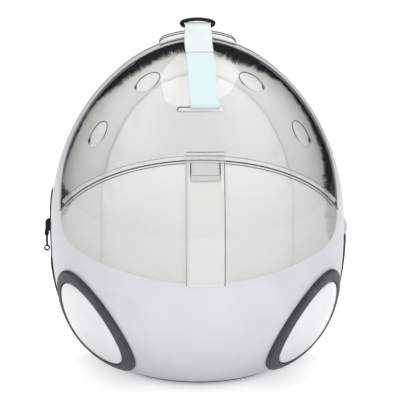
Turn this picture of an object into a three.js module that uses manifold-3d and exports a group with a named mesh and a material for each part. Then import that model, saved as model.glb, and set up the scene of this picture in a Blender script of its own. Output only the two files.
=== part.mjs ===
// Pet carrier backpack with an egg-shaped hard shell, in millimetres.
// Z is up, the front faces -Y and the flat underside stands on Z = 0.
import * as THREE from "three";
import { mergeVertices } from "three/addons/utils/BufferGeometryUtils.js";
import Module from "manifold-3d";

const wasm = await Module();
wasm.setup();

// Egg form of the shell, measured from the zip plane
const HALF_WIDTH = 170;
const DEPTH = 222;
const HEIGHT = 376;
const BELLY = 163; // height of the widest level
const DOME_POWER = 0.545;
const BOWL_REACH = 171; // from the widest level to the tip below the flat cut
const BOWL_POWER_IN = 2.73;
const BOWL_POWER_OUT = 3.3;
const ZIP_Y = 60; // plane where shell and back meet
const AROUND = 44;
const ROWS_DOME = 10;
const ROWS_BOWL = 9;

// Walls and gaps
const WALL = 2.6;
const CLEAR_WALL = 2.2;
const GAP = 0.4;
const PAD_THICK = 2.4;
const SPAN = 600; // size of cutting blocks

// Dividing lines in side view: reach forward of the zip plane, height
const BASE_EDGE = [
  [320, 122],
  [260, 129],
  [222, 134],
  [195, 141],
  [160, 149],
  [125, 157],
  [104, 168],
  [91, 188],
  [75, 216],
  [58, 245],
  [46, 280],
  [39, 310],
  [34, 340],
  [31, 367],
  [30, 400],
];
const SEAM = [
  [40, 155],
  [90, 187],
  [143, 222],
  [197, 257],
  [230, 278],
];

// Clear panels
const BEAD_WIDTH = 5;
const BEAD_PROUD = 1.4;
const RAIL_WIDTH = 39.5;
const RAIL_PROUD = 2;
const RAIL_ACROSS = 3.5;
const VENT_DIAMETER = 32;
const VENTS = [
  { across: 57.2, reach: 109.5, height: 331.2 },
  { across: 110.2, reach: 118, height: 275.8 },
];
const SLOT = { width: 50, high: 7, height: 308 };
const LATCH = { plateWidth: 41, tongueWidth: 28.8, top: 263.5, step: 255, foot: 235.4 };
const LATCH_THICK = 2.2;
const COVER = { front: 26, back: 2, proud: 7.6 };

// Side rings and caps
const RING_PLACE = { across: 123.7, reach: 129.2, height: 66.8, wide: 1.06, lean: 0.2 };
const RING = { outer: 119.6, inner: 96.6, proud: 4.6 };
const CAP = { diameter: 95.2, proud: 3.9 };

// Zip and back
const TAPE_DEPTH = 10;
const TAPE_PROUD = 1.8;
const TAPE_INSIDE = 8;
const BACK_THICK = 21;
const BACK_INSET = 2;
const BACK_ROUND = 6;
const FLOOR_CLEAR = 3;
const LINING_THICK = 8;
const ARCH = { halfWidth: 120, foot: 46, shoulder: 170, top: 336, thick: 9, round: 4 };

// Handle strap, its sleeve and ring
const STRAP = { width: 30, thick: 1.6, sway: 5 };
const SLEEVE = { width: 31, thick: 1.2 };
const RING_SQUEEZE = 0.14;
const TOP_RING = { halfWidth: 18.4, halfHeight: 4.8, rod: 2.2, reach: 14, height: 390.4 };

// Shoulder straps
const SHOULDER = { across: 50, width: 50, thick: 10 };
const WEB = { width: 25, thick: 1.8 };
const BUCKLE = { width: 34, thick: 3.4 };

// Zip slider and puller on the left edge
const SLIDER = { low: 149, high: 163, proud: 5.6, width: 9 };
const PULL = { thick: 3.6, width: 2.4, length: 14, eye: 2.6, hole: 1.4, pin: 1, loop: 3.6, loopHole: 2 };
const PIVOT_Z = 146;
const PIVOT_OUT = 4.6; // outward of the zip tape

// Materials
const paint = (color, roughness, opacity = 1) =>
  new THREE.MeshStandardMaterial({ color, roughness, opacity, transparent: opacity < 1 });
const WHITE = paint(0xdcdfe2, 0.35);
const CAP_WHITE = paint(0xeeeef0, 0.3);
const CLEAR = paint(0xe4e6e4, 0.08, 0.35);
const DARK = paint(0x4c4b50, 0.5);
const BLACK = paint(0x141416, 0.25);
const PALE = paint(0xdadbd6, 0.8);
const CYAN = paint(0xd8f4f7, 0.7);
const CLOTH = paint(0x55565a, 0.9);

// Solids and meshes
function solidOf(geometry) {
  const bare = new THREE.BufferGeometry();
  bare.setAttribute("position", geometry.getAttribute("position"));
  if (geometry.index) bare.setIndex(geometry.index);
  const merged = mergeVertices(bare, 1e-4);
  return new wasm.Manifold(
    new wasm.Mesh({
      numProp: 3,
      vertProperties: merged.attributes.position.array,
      triVerts: new Uint32Array(merged.index.array),
    }),
  );
}

function meshOf(name, solid, material) {
  const { vertProperties, triVerts } = solid.getMesh();
  const geometry = new THREE.BufferGeometry();
  geometry.setAttribute("position", new THREE.BufferAttribute(vertProperties, 3));
  geometry.setIndex(new THREE.BufferAttribute(triVerts, 1));
  geometry.computeVertexNormals();
  const mesh = new THREE.Mesh(geometry, material);
  mesh.name = name;
  return mesh;
}

// A block between two corners
function block(low, high) {
  const size = high.map((v, i) => v - low[i]);
  const geometry = new THREE.BoxGeometry(...size);
  geometry.translate(...low.map((v, i) => v + size[i] / 2));
  return solidOf(geometry);
}

const above = (z) => block([-SPAN, -SPAN, z], [SPAN, SPAN, z + SPAN]);
const frontOf = (y) => block([-SPAN, y - SPAN, -SPAN], [SPAN, y, SPAN]);

// Half width and depth of the egg as shares of their largest, by height
function girth(z) {
  if (z >= BELLY) {
    const rise = Math.min(1, (z - BELLY) / (HEIGHT - BELLY));
    return (1 - rise ** 2) ** DOME_POWER;
  }
  const drop = Math.min(1, (BELLY - z) / BOWL_REACH);
  return (1 - drop ** BOWL_POWER_IN) ** (1 / BOWL_POWER_OUT);
}

function eggPoint(z, turn) {
  const g = girth(z);
  return new THREE.Vector3(
    HALF_WIDTH * g * Math.sin(turn),
    ZIP_Y - DEPTH * g * Math.cos(turn),
    z,
  );
}

// Outward normal from the slope of the girth
function eggNormal(z, turn) {
  const step = 0.02;
  const low = Math.max(z - step, BELLY - BOWL_REACH + 1e-4);
  const high = Math.min(z + step, HEIGHT - 1e-4);
  const slope = (girth(high) - girth(low)) / (high - low);
  return new THREE.Vector3(
    DEPTH * Math.sin(turn),
    -HALF_WIDTH * Math.cos(turn),
    -HALF_WIDTH * DEPTH * slope,
  ).normalize();
}

// Heights of the rows from the lower tip to the top
const LEVELS = [];
for (let i = 1; i < ROWS_BOWL; i++) {
  LEVELS.push(BELLY - BOWL_REACH * Math.cos((i / ROWS_BOWL) * (Math.PI / 2)));
}
for (let i = 0; i < ROWS_DOME; i++) {
  LEVELS.push(BELLY + (HEIGHT - BELLY) * Math.sin((i / ROWS_DOME) * (Math.PI / 2)));
}

// Closed egg moved out from the shell's face by offset, mirrored behind the zip plane
const eggs = new Map();
function egg(offset) {
  if (eggs.has(offset)) return eggs.get(offset);
  const points = [new THREE.Vector3(0, ZIP_Y, BELLY - BOWL_REACH - offset)];
  for (const z of LEVELS) {
    for (let j = 0; j < AROUND; j++) {
      const turn = (j / AROUND) * 2 * Math.PI;
      points.push(eggPoint(z, turn).addScaledVector(eggNormal(z, turn), offset));
    }
  }
  points.push(new THREE.Vector3(0, ZIP_Y, HEIGHT + offset));
  const faces = [];
  const at = (row, j) => 1 + row * AROUND + (j % AROUND);
  const last = points.length - 1;
  for (let j = 0; j < AROUND; j++) {
    faces.push(0, at(0, j + 1), at(0, j));
    faces.push(last, at(LEVELS.length - 1, j), at(LEVELS.length - 1, j + 1));
    for (let row = 0; row + 1 < LEVELS.length; row++) {
      faces.push(at(row, j), at(row, j + 1), at(row + 1, j + 1));
      faces.push(at(row, j), at(row + 1, j + 1), at(row + 1, j));
    }
  }
  const geometry = new THREE.BufferGeometry().setFromPoints(points);
  geometry.setIndex(faces);
  const solid = solidOf(geometry);
  eggs.set(offset, solid);
  return solid;
}

const layer = (inside, outside) => egg(outside).subtract(egg(inside));

// Prism across the carrier from a side-view outline of reach and height
function sidePrism(outline, width = SPAN, steps = 1) {
  const shape = new THREE.Shape(outline.map(([reach, z]) => new THREE.Vector2(ZIP_Y - reach, z)));
  const geometry = new THREE.ExtrudeGeometry(shape, { depth: width, steps, bevelEnabled: false });
  geometry.translate(0, 0, -width / 2);
  geometry.applyMatrix4(new THREE.Matrix4().set(0, 0, 1, 0, 1, 0, 0, 0, 0, 1, 0, 0, 0, 0, 0, 1));
  return solidOf(geometry);
}

// Prism through the carrier from front to back, from a front-view outline
function frontPrism(outline, front, back, holes = []) {
  const shape = new THREE.Shape(outline.map(([x, z]) => new THREE.Vector2(x, z)));
  for (const hole of holes) {
    shape.holes.push(new THREE.Path(hole.map(([x, z]) => new THREE.Vector2(x, z))));
  }
  const geometry = new THREE.ExtrudeGeometry(shape, { depth: back - front, bevelEnabled: false });
  geometry.rotateX(Math.PI / 2);
  geometry.translate(0, back, 0);
  return solidOf(geometry);
}

// Smooth line through a table of pairs, moved sideways by shift
function smoothLine(table, shift = 0, count = 22) {
  const curve = new THREE.SplineCurve(table.map(([u, v]) => new THREE.Vector2(u, v)));
  const line = [];
  for (let i = 0; i <= count; i++) {
    const p = curve.getPoint(i / count);
    const t = curve.getTangent(i / count);
    line.push([p.x + t.y * shift, p.y - t.x * shift]);
  }
  return line;
}

// Flat strip of the given thickness along a side-view line
function ribbon(table, width, thick, count, steps = 1) {
  const left = smoothLine(table, thick / 2, count);
  const right = smoothLine(table, -thick / 2, count);
  return sidePrism([...left, ...right.reverse()], width, steps);
}

// Regions of the shell in side view
const baseRegion = sidePrism([...smoothLine(BASE_EDGE), [-80, 400], [-80, -60], [320, -60]]);
const windowRegion = sidePrism([...smoothLine(BASE_EDGE, GAP), [320, 400]]);
const upperRegion = sidePrism([...smoothLine(SEAM, -GAP / 2), [230, 450], [-40, 450], [-40, 172]]);
const lowerRegion = sidePrism([...smoothLine(SEAM, GAP / 2), [320, 296], [320, 60], [40, 60]]);
const beadRegion = sidePrism([
  ...smoothLine(SEAM, -GAP / 2),
  ...smoothLine(SEAM, -GAP / 2 - BEAD_WIDTH).reverse(),
]);

const group = new THREE.Group();
group.name = "pet_carrier_backpack";
const shellGroup = new THREE.Group();
shellGroup.name = "shell";
const backGroup = new THREE.Group();
backGroup.name = "back";
const handleGroup = new THREE.Group();
handleGroup.name = "handle";
const zipGroup = new THREE.Group();
zipGroup.name = "zip";
group.add(shellGroup, backGroup, handleGroup, zipGroup);

// White lower shell with its rim band and the zip end bump on the right
const floorLevel = PAD_THICK + GAP;
const hollow = egg(-WALL).intersect(above(floorLevel + WALL));
let baseShell = egg(0).intersect(above(floorLevel)).subtract(hollow);
baseShell = baseShell.intersect(baseRegion).intersect(frontOf(ZIP_Y));
const bump = frontPrism(
  [
    [166, 143],
    [170.5, 144],
    [173.2, 148],
    [173.2, 158],
    [170, 165],
    [166, 166],
  ],
  ZIP_Y - 11,
  ZIP_Y,
);
baseShell = baseShell.add(bump.subtract(egg(-1)));
shellGroup.add(meshOf("base_shell", baseShell, WHITE));

const basePad = egg(0)
  .intersect(block([-SPAN, -SPAN, 0], [SPAN, ZIP_Y, PAD_THICK]));
shellGroup.add(meshOf("base_pad", basePad, DARK));

// Widens a shape along the level line of the wall and leans its upper part toward the back
function leaning(normal, wide, lean) {
  const level = new THREE.Vector3(0, 0, 1).cross(normal).normalize();
  const rise = normal.clone().cross(level);
  const basis = new THREE.Matrix4().makeBasis(level, rise, normal);
  const shear = new THREE.Matrix4().set(wide, lean, 0, 0, 0, 1, 0, 0, 0, 0, 1, 0, 0, 0, 0, 1);
  return basis.clone().multiply(shear).multiply(basis.clone().invert());
}

// Round plug square to the wall at a marked place
function plug(diameter, mark, side) {
  const turn = Math.atan2(mark.across / HALF_WIDTH, mark.reach / DEPTH) * side;
  const normal = eggNormal(mark.height, turn);
  const centre = eggPoint(mark.height, turn);
  const geometry = new THREE.CylinderGeometry(diameter / 2, diameter / 2, 110, 26);
  const tilt = new THREE.Quaternion().setFromUnitVectors(new THREE.Vector3(0, 1, 0), normal);
  geometry.applyQuaternion(tilt);
  if (mark.lean) {
    geometry.applyMatrix4(leaning(normal, mark.wide, mark.lean * side));
  }
  geometry.translate(centre.x, centre.y, centre.z);
  return solidOf(geometry);
}

// Clear dome with vents, slot and bead
let upper = layer(-CLEAR_WALL, 0).add(layer(-1, BEAD_PROUD).intersect(beadRegion));
upper = upper.intersect(windowRegion).intersect(upperRegion);
for (const vent of VENTS) {
  upper = upper.subtract(plug(VENT_DIAMETER, vent, 1)).subtract(plug(VENT_DIAMETER, vent, -1));
}

// Strap slot, a rounded cut square to the wall
const slotShape = new THREE.Shape();
const slotEnd = SLOT.high / 2;
slotShape.absarc(SLOT.width / 2 - slotEnd, 0, slotEnd, -Math.PI / 2, Math.PI / 2);
slotShape.absarc(slotEnd - SLOT.width / 2, 0, slotEnd, Math.PI / 2, (3 * Math.PI) / 2);
const slotBlock = new THREE.ExtrudeGeometry(slotShape, {
  depth: 40,
  curveSegments: 6,
  bevelEnabled: false,
});
slotBlock.translate(0, 0, -20);
const slotPlace = new THREE.Matrix4();
const slotNormal = eggNormal(SLOT.height, 0);
slotPlace.lookAt(slotNormal, new THREE.Vector3(), new THREE.Vector3(0, 0, 1));
slotPlace.setPosition(eggPoint(SLOT.height, 0));
slotBlock.applyMatrix4(slotPlace);
upper = upper.subtract(solidOf(slotBlock));
shellGroup.add(meshOf("upper_window", upper, CLEAR));

// Clear lower panel with its raised rail
const rail = layer(-1, RAIL_PROUD)
  .intersect(block([-RAIL_WIDTH / 2, -SPAN, 0], [RAIL_WIDTH / 2, 0, HEIGHT]).translate([RAIL_ACROSS, 0, 0]));
const lower = layer(-CLEAR_WALL, 0)
  .add(rail)
  .intersect(windowRegion)
  .intersect(lowerRegion)
  .intersect(frontOf(ZIP_Y - 20));
shellGroup.add(meshOf("lower_window", lower, CLEAR));

// Clear latch, a plate with a tongue
const latchShape = [
  [-LATCH.tongueWidth / 2, LATCH.foot],
  [LATCH.tongueWidth / 2, LATCH.foot],
  [LATCH.tongueWidth / 2, LATCH.step],
  [LATCH.plateWidth / 2, LATCH.step],
  [LATCH.plateWidth / 2, LATCH.top],
  [-LATCH.plateWidth / 2, LATCH.top],
  [-LATCH.plateWidth / 2, LATCH.step],
  [-LATCH.tongueWidth / 2, LATCH.step],
];
const latchFoot = RAIL_PROUD + GAP;
const latch = layer(latchFoot, latchFoot + LATCH_THICK)
  .intersect(frontPrism(latchShape, -250, -20).translate([RAIL_ACROSS, 0, 0]));
shellGroup.add(meshOf("latch_tab", latch, CLEAR));

// Clear cover over the rim's top
const coverShape = [
  [-43, 350],
  [43, 350],
  [42.5, 370.5],
  [36.4, 376],
  [19, 386],
  [-19, 386],
  [-36.4, 376],
  [-42.5, 370.5],
];
const cover = layer(GAP, COVER.proud)
  .intersect(frontPrism(coverShape, ZIP_Y - COVER.front, ZIP_Y - COVER.back));
shellGroup.add(meshOf("top_cover", cover, CLEAR));

// Dark rings and white caps on the lower sides
for (const [name, side] of [["left", -1], ["right", 1]]) {
  const outer = plug(RING.outer, RING_PLACE, side);
  const inner = plug(RING.inner, RING_PLACE, side);
  const ring = layer(GAP, RING.proud).intersect(outer).subtract(inner);
  shellGroup.add(meshOf("side_ring_" + name, ring, DARK));
  const cap = layer(GAP, CAP.proud).intersect(plug(CAP.diameter, RING_PLACE, side));
  shellGroup.add(meshOf("side_cap_" + name, cap, CAP_WHITE));
}

// Outline of the egg in the zip plane, moved in by a distance that may vary with height and side
function outline(inset, floor, count = 20) {
  const pairs = [];
  for (let i = 0; i <= count; i++) {
    const share = i / count;
    const z = floor + ((HEIGHT - floor) * (1 - Math.cos(share * Math.PI))) / 2;
    const normal = eggNormal(Math.min(z, HEIGHT - 0.01), Math.PI / 2);
    pairs.push([HALF_WIDTH * girth(z), z, normal.x, normal.z]);
  }
  const right = pairs.map(([x, z, nx, nz]) => {
    const d = inset(z, 1);
    return [x - nx * d, Math.max(floor, z - nz * d)];
  });
  const left = pairs.map(([x, z, nx, nz]) => {
    const d = inset(z, -1);
    return [-(x - nx * d), Math.max(floor, z - nz * d)];
  });
  left.pop();
  return [...right, ...left.reverse()];
}

const blend = (a, b, t) => a + (b - a) * THREE.MathUtils.smoothstep(t, 0, 1);

// Zip tape, proud of the shell below the widest level and tucked in above it
const tapeOut = (z, side) => {
  const end = side > 0 ? 140 : 196;
  return z < 40 ? blend(0.6, -TAPE_PROUD, (z - 15) / 25) : blend(-TAPE_PROUD, 1.5, (z - end) / 10);
};
const tape = frontPrism(
  outline(tapeOut, FLOOR_CLEAR, 34),
  ZIP_Y + GAP,
  ZIP_Y + TAPE_DEPTH,
  [outline(() => TAPE_INSIDE, FLOOR_CLEAR + TAPE_INSIDE, 20)],
);
zipGroup.add(meshOf("zip_tape", tape, DARK));

// Padded panel with rounded edges
function cushion(line, front, back, round) {
  const shape = new THREE.Shape(line.map(([x, z]) => new THREE.Vector2(x, z)));
  const geometry = new THREE.ExtrudeGeometry(shape, {
    depth: back - front - 2 * round,
    bevelThickness: round,
    bevelSize: round,
    bevelOffset: -round,
    bevelSegments: 2,
  });
  geometry.rotateX(Math.PI / 2);
  geometry.translate(0, back - round, 0);
  return solidOf(geometry);
}

const backFront = ZIP_Y + TAPE_DEPTH + GAP;
const back = cushion(
  outline(() => BACK_INSET, FLOOR_CLEAR),
  backFront,
  backFront + BACK_THICK,
  BACK_ROUND,
);
backGroup.add(meshOf("back_panel", back, CLOTH));

// Pale lining, set in from the rim by height, left and right
const LINING_INSET = [
  { height: 0, left: 14, right: 14 },
  { height: 130, left: 14, right: 15 },
  { height: 190, left: 14, right: 20 },
  { height: 240, left: 12, right: 18 },
  { height: 300, left: 14, right: 14 },
  { height: 340, left: 21, right: 20 },
  { height: 380, left: 21, right: 21 },
];
function liningInset(z, side) {
  const key = side > 0 ? "right" : "left";
  const i = LINING_INSET.findIndex((row) => row.height >= z);
  if (i <= 0) return LINING_INSET[0][key];
  const [a, b] = [LINING_INSET[i - 1], LINING_INSET[i]];
  return blend(a[key], b[key], (z - a.height) / (b.height - a.height));
}
const liningBack = backFront - GAP;
const lining = cushion(
  outline(liningInset, FLOOR_CLEAR + 10),
  liningBack - LINING_THICK,
  liningBack,
  2.5,
);
backGroup.add(meshOf("inner_lining", lining, PALE));

// Arch-shaped pad on the lining
const arch = [
  [ARCH.halfWidth - 14, ARCH.foot],
  [ARCH.halfWidth - 4, ARCH.foot + 4],
  [ARCH.halfWidth, ARCH.foot + 14],
];
for (let i = 0; i <= 20; i++) {
  const turn = (i / 20) * Math.PI;
  arch.push([
    ARCH.halfWidth * Math.cos(turn),
    ARCH.shoulder + (ARCH.top - ARCH.shoulder) * Math.sin(turn),
  ]);
}
arch.push(
  [-ARCH.halfWidth, ARCH.foot + 14],
  [-ARCH.halfWidth + 4, ARCH.foot + 4],
  [-ARCH.halfWidth + 14, ARCH.foot],
);
const archBack = liningBack - LINING_THICK - GAP;
const archPad = cushion(arch, archBack - ARCH.thick, archBack, ARCH.round);
backGroup.add(meshOf("inner_pad", archPad, PALE));

// Handle strap: up behind the dome's wall, out through the slot, over the top, down the back
function meridian(z, offset, along = 0) {
  const normal = eggNormal(z, 0);
  const p = eggPoint(z, 0).addScaledVector(normal, offset);
  return [ZIP_Y - p.y + normal.z * along, p.z + normal.y * along];
}
const strapOut = GAP + STRAP.thick / 2 + 0.7;
const strapIn = -CLEAR_WALL - strapOut;
const turnRadius = (strapOut - strapIn) / 2;
const slotTop = SLOT.height + slotEnd * -slotNormal.y;
const strapLine = [];
for (const z of [342, 334, 326, 318.5]) strapLine.push(meridian(z, strapIn));
for (let i = 0; i <= 6; i++) {
  const turn = (i / 6) * Math.PI;
  strapLine.push(
    meridian(
      slotTop,
      -CLEAR_WALL / 2 - turnRadius * Math.cos(turn),
      turnRadius * Math.sin(turn),
    ),
  );
}
const sleeveFrom = strapLine.length + 5;
for (const z of [318.5, 326, 334, 342, 350, 359, 366]) strapLine.push(meridian(z, strapOut));
const backFace = -(TAPE_DEPTH + GAP + BACK_THICK + GAP + STRAP.thick / 2);
strapLine.push(
  [53, 371.5],
  [42, 378],
  [30, 385.9],
  [14, 389.7],
  [0, 388.9],
  [-14, 384],
  [-25, 379],
  [backFace + 1.5, 373],
  [backFace - 0.2, 364],
  [backFace, 352],
  [backFace, 336],
);

// The strap leans to one side near the slot, bends round the dome and narrows in the ring
function drape(solid) {
  return solid.warp((v) => {
    v[0] *= 1 - RING_SQUEEZE * Math.min(1, Math.max(0, (v[2] - 379) / 7));
    if (v[1] > ZIP_Y - 20) return;
    v[0] += STRAP.sway * Math.min(1, Math.max(0, (370 - v[2]) / 64));
    const share = Math.min(1, Math.max(0, (362 - v[2]) / 24));
    const width = HALF_WIDTH * girth(Math.min(v[2], 366));
    v[1] += (ZIP_Y - v[1]) * (1 - Math.sqrt(1 - (v[0] / width) ** 2)) * share;
  });
}
const strap = drape(ribbon(strapLine, STRAP.width, STRAP.thick, 54, 3));
handleGroup.add(meshOf("handle_strap", strap, CYAN));

// White sleeve on the outer face of the strap, from the dome up through the ring
const lift = (STRAP.thick + SLEEVE.thick) / 2 + GAP;
const sleeveLine = [];
for (let i = sleeveFrom; i < strapLine.length - 5; i++) {
  const before = strapLine[i - 1];
  const after = strapLine[i + 1];
  const along = new THREE.Vector2(after[0] - before[0], after[1] - before[1]).normalize();
  sleeveLine.push([strapLine[i][0] + along.y * lift, strapLine[i][1] - along.x * lift]);
}
const sleeve = drape(ribbon(sleeveLine, SLEEVE.width, SLEEVE.thick, 20, 3));
handleGroup.add(meshOf("handle_sleeve", sleeve, WHITE));

// Black oval ring standing on the cover, round the strap
const oval = new THREE.CatmullRomCurve3(
  Array.from({ length: 24 }, (_, i) => {
    const turn = (i / 24) * 2 * Math.PI;
    const c = Math.cos(turn);
    const s = Math.sin(turn);
    return new THREE.Vector3(
      TOP_RING.halfWidth * Math.sign(c) * Math.abs(c) ** 0.7,
      ZIP_Y - TOP_RING.reach,
      TOP_RING.height + TOP_RING.halfHeight * Math.sign(s) * Math.abs(s) ** 0.8,
    );
  }),
  true,
);
const ringTube = new THREE.TubeGeometry(oval, 30, TOP_RING.rod, 8, true);
handleGroup.add(meshOf("top_ring", solidOf(ringTube), BLACK));

// Shoulder straps behind the back, one pad, one web and one plain buckle a side
const backPlane = -(TAPE_DEPTH + GAP + BACK_THICK + GAP);
const padLine = [
  [backPlane - SHOULDER.thick / 2 - 0.1, 342],
  [backPlane - SHOULDER.thick / 2 - 0.9, 328],
  [backPlane - SHOULDER.thick / 2 - 3.5, 314],
  [backPlane - 17, 294],
  [backPlane - 33, 262],
  [backPlane - 40, 222],
  [backPlane - 38, 182],
  [backPlane - 30, 148],
];
const webUnderPad = -(SHOULDER.thick + WEB.thick) / 2 - GAP;
const webLine = [
  ...smoothLine(padLine, webUnderPad, 24).slice(-4),
  [backPlane - 17.6, 116],
  [backPlane - 9, 84],
  [backPlane - 3.4, 62],
  [backPlane - WEB.thick / 2 - 0.5, 47],
  [backPlane - WEB.thick / 2 - 0.1, 34],
];
const buckleOut = (WEB.thick + BUCKLE.thick) / 2 + GAP;
const buckleLine = smoothLine(webLine, buckleOut, 40).filter(([, z]) => z < 137 && z > 118);
for (const [name, side] of [["left", -1], ["right", 1]]) {
  const shift = [side * SHOULDER.across, 0, 0];
  const pad = ribbon(padLine, SHOULDER.width, SHOULDER.thick, 24).translate(shift);
  backGroup.add(meshOf("shoulder_pad_" + name, pad, CLOTH));
  const web = ribbon(webLine, WEB.width, WEB.thick, 14).translate(shift);
  backGroup.add(meshOf("strap_web_" + name, web, CLOTH));
  const buckle = ribbon(buckleLine, BUCKLE.width, BUCKLE.thick, 4).translate(shift);
  backGroup.add(meshOf("strap_buckle_" + name, buckle, BLACK));
}

// Slider on the left edge, with two lugs and a pin for the puller
const tapeFace = HALF_WIDTH + TAPE_PROUD;
const middleY = ZIP_Y + (GAP + TAPE_DEPTH) / 2;
const pivotX = -(tapeFace + PIVOT_OUT);
const disc = (x, z, radius, count) =>
  Array.from({ length: count }, (_, i) => {
    const turn = (i / count) * 2 * Math.PI;
    return [x + radius * Math.cos(turn), z + radius * Math.sin(turn)];
  });
const sliderFace = -(tapeFace + GAP);
const sliderBody = frontPrism(
  [
    [sliderFace, SLIDER.low],
    [sliderFace, SLIDER.high],
    [sliderFace - SLIDER.proud * 0.6, SLIDER.high],
    [sliderFace - SLIDER.proud, SLIDER.high - 3],
    [sliderFace - SLIDER.proud, SLIDER.low + 3],
    [sliderFace - SLIDER.proud * 0.7, SLIDER.low],
  ],
  middleY - SLIDER.width / 2,
  middleY + SLIDER.width / 2,
);
let slider = sliderBody;
for (const side of [-1, 1]) {
  const lugIn = middleY + side * (PULL.thick / 2 + GAP);
  const lugOut = middleY + side * (SLIDER.width / 2);
  const lug = frontPrism(
    [
      [pivotX - 2.2, PIVOT_Z - 1.6],
      [pivotX - 1.2, PIVOT_Z - 2.4],
      [pivotX + 1.2, PIVOT_Z - 2.4],
      [pivotX + 2.2, PIVOT_Z - 1.6],
      [pivotX + 2.2, SLIDER.low + 2],
      [pivotX - 1.2, SLIDER.low + 2],
      [pivotX - 2.2, SLIDER.low + 1],
    ],
    Math.min(lugIn, lugOut),
    Math.max(lugIn, lugOut),
  );
  slider = slider.add(lug);
}
slider = slider.add(
  frontPrism(
    disc(pivotX, PIVOT_Z, PULL.pin, 12),
    middleY - SLIDER.width / 2 + 1,
    middleY + SLIDER.width / 2 - 1,
  ),
);
zipGroup.add(meshOf("zip_slider", slider, BLACK));

// Puller: an eye on the pin, a strip and a loop
const loopZ = PIVOT_Z - PULL.length - PULL.loop;
let pull = frontPrism(
  disc(pivotX, PIVOT_Z, PULL.eye, 16),
  middleY - PULL.thick / 2,
  middleY + PULL.thick / 2,
);
pull = pull
  .add(
    block(
      [pivotX - PULL.width / 2, middleY - PULL.thick / 2, loopZ],
      [pivotX + PULL.width / 2, middleY + PULL.thick / 2, PIVOT_Z - 1],
    ),
  )
  .add(
    frontPrism(
      disc(pivotX, loopZ, PULL.loop, 18),
      middleY - PULL.thick / 2,
      middleY + PULL.thick / 2,
    ),
  )
  .subtract(frontPrism(disc(pivotX, PIVOT_Z, PULL.hole, 12), middleY - 9, middleY + 9))
  .subtract(frontPrism(disc(pivotX, loopZ, PULL.loopHole, 12), middleY - 9, middleY + 9));
zipGroup.add(meshOf("zip_pull", pull, BLACK));

export default group;
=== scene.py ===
import math

import bpy
import numpy as np
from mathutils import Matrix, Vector


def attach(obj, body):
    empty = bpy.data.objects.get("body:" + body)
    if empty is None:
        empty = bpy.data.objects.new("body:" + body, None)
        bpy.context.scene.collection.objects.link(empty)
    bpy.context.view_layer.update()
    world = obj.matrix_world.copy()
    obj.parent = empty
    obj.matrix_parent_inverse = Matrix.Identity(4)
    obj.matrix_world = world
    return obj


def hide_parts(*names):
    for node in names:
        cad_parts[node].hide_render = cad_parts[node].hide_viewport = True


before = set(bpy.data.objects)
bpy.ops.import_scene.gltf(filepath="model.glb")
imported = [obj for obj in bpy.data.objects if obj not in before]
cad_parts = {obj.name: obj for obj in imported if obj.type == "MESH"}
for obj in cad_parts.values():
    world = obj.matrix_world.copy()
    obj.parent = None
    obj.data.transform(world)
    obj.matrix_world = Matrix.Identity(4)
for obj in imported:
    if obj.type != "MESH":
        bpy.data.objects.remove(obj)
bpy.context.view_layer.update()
scene = bpy.context.scene
SIDES = (("left", -1), ("right", 1))

# Egg form of the shell
HALF_WIDTH = 0.170
DEPTH = 0.222
HEIGHT = 0.376
BELLY = 0.163
DOME_POWER = 0.545
BOWL_REACH = 0.171
BOWL_POWER_IN = 2.73
BOWL_POWER_OUT = 3.3
ZIP_Y = 0.060  # plane where shell and back meet
FLOOR = 0.0028  # underside of the shell, above its pad
FOOT_SHADOW_SPREAD = (1.022, 1.022, 1.0)  # widens the dark pad so that it shows as a thin dark line round the base: partly the pad, partly painted contact shadow

# Walls
SHELL_WALL = 0.0026
CLEAR_WALL = 0.0022
GAP = 0.0004
LIP_RUN = 0.006  # the shell's wall thins over this distance towards the window
LIP_SHARE = 0.32
LIP_SPAN = (0.120, 0.372)
CUT_DEEP = 0.015  # half the length of a cutter
FOOT_RANGE = (-0.09, 0.02)  # how far from a tangent plane the egg is searched
FOOT_TURNS = 40

# Dividing lines in side view: reach forward of the zip plane, height, in millimetres
BASE_EDGE = [
    (320, 122), (260, 129), (222, 134), (195, 141), (160, 149), (125, 157), (104, 168),
    (91, 188), (75, 216), (58, 245), (46, 280), (39, 310), (34, 340), (31, 367), (30, 400),
]
SEAM = [(40, 155), (90, 187), (143, 222), (197, 257), (230, 278)]
RIM_SPAN = (0.120, 0.3755)  # heights searched for the window's rim
FINE_STEPS = 6000

# Clear panels
RAIL_HALF = 0.01975
RAIL_PROUD = 0.002
RAIL_ACROSS = 0.0035
RAIL_BELOW = 0.0040  # the rail starts below the window's rim
RAIL_SHORT = 0.0012  # and stops short of the seam
BEAD_WIDTH = 0.005
BEAD_PROUD = 0.0014
SEAM_SHORT = 0.012  # where the bead stops before the window's corner
STRIP_STEPS = 7
RAIL_STEPS = 12
VENT_RADIUS = 0.016
VENT_WIDE = 0.0138
VENTS = [("upper", 0.0572, 0.1095, 0.3312), ("lower", 0.1102, 0.118, 0.2758)]
SLOT_WIDTH = 0.050
SLOT_HIGH = 0.007
SLOT_HEIGHT = 0.308
LATCH_PLATE = 0.0205
LATCH_TONGUE = 0.0144
LATCH_LEVELS = (0.2354, 0.2550, 0.2635)
LATCH_THICK = 0.0022
LATCH_STEP = 0.2600  # line across the plate
LATCH_GROOVES = (0.2415, 0.2362)
COVER_REACH = (0.002, 0.026)
COVER_END = 0.0425
COVER_CREST = [(0, 0.0076), (0.0364, 0.0071), (0.0411, 0.0049), (COVER_END, 0.0034)]  # distance, height
RIM_LINE_SPAN = (0.040, 0.092)
RIM_LINE_REACH = 0.0105

# Side rings and caps
RING_ACROSS = 0.1237
RING_REACH = 0.1292
RING_HEIGHT = 0.0668
RING_OUTER = 0.0598
RING_INNER = 0.0483
RING_WIDE = 1.06
RING_LEAN = 0.2
RING_AROUND = 112
RING_PROUD = 0.0046
CAP_RADIUS = 0.0476
CAP_PROUD = 0.0039

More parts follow.
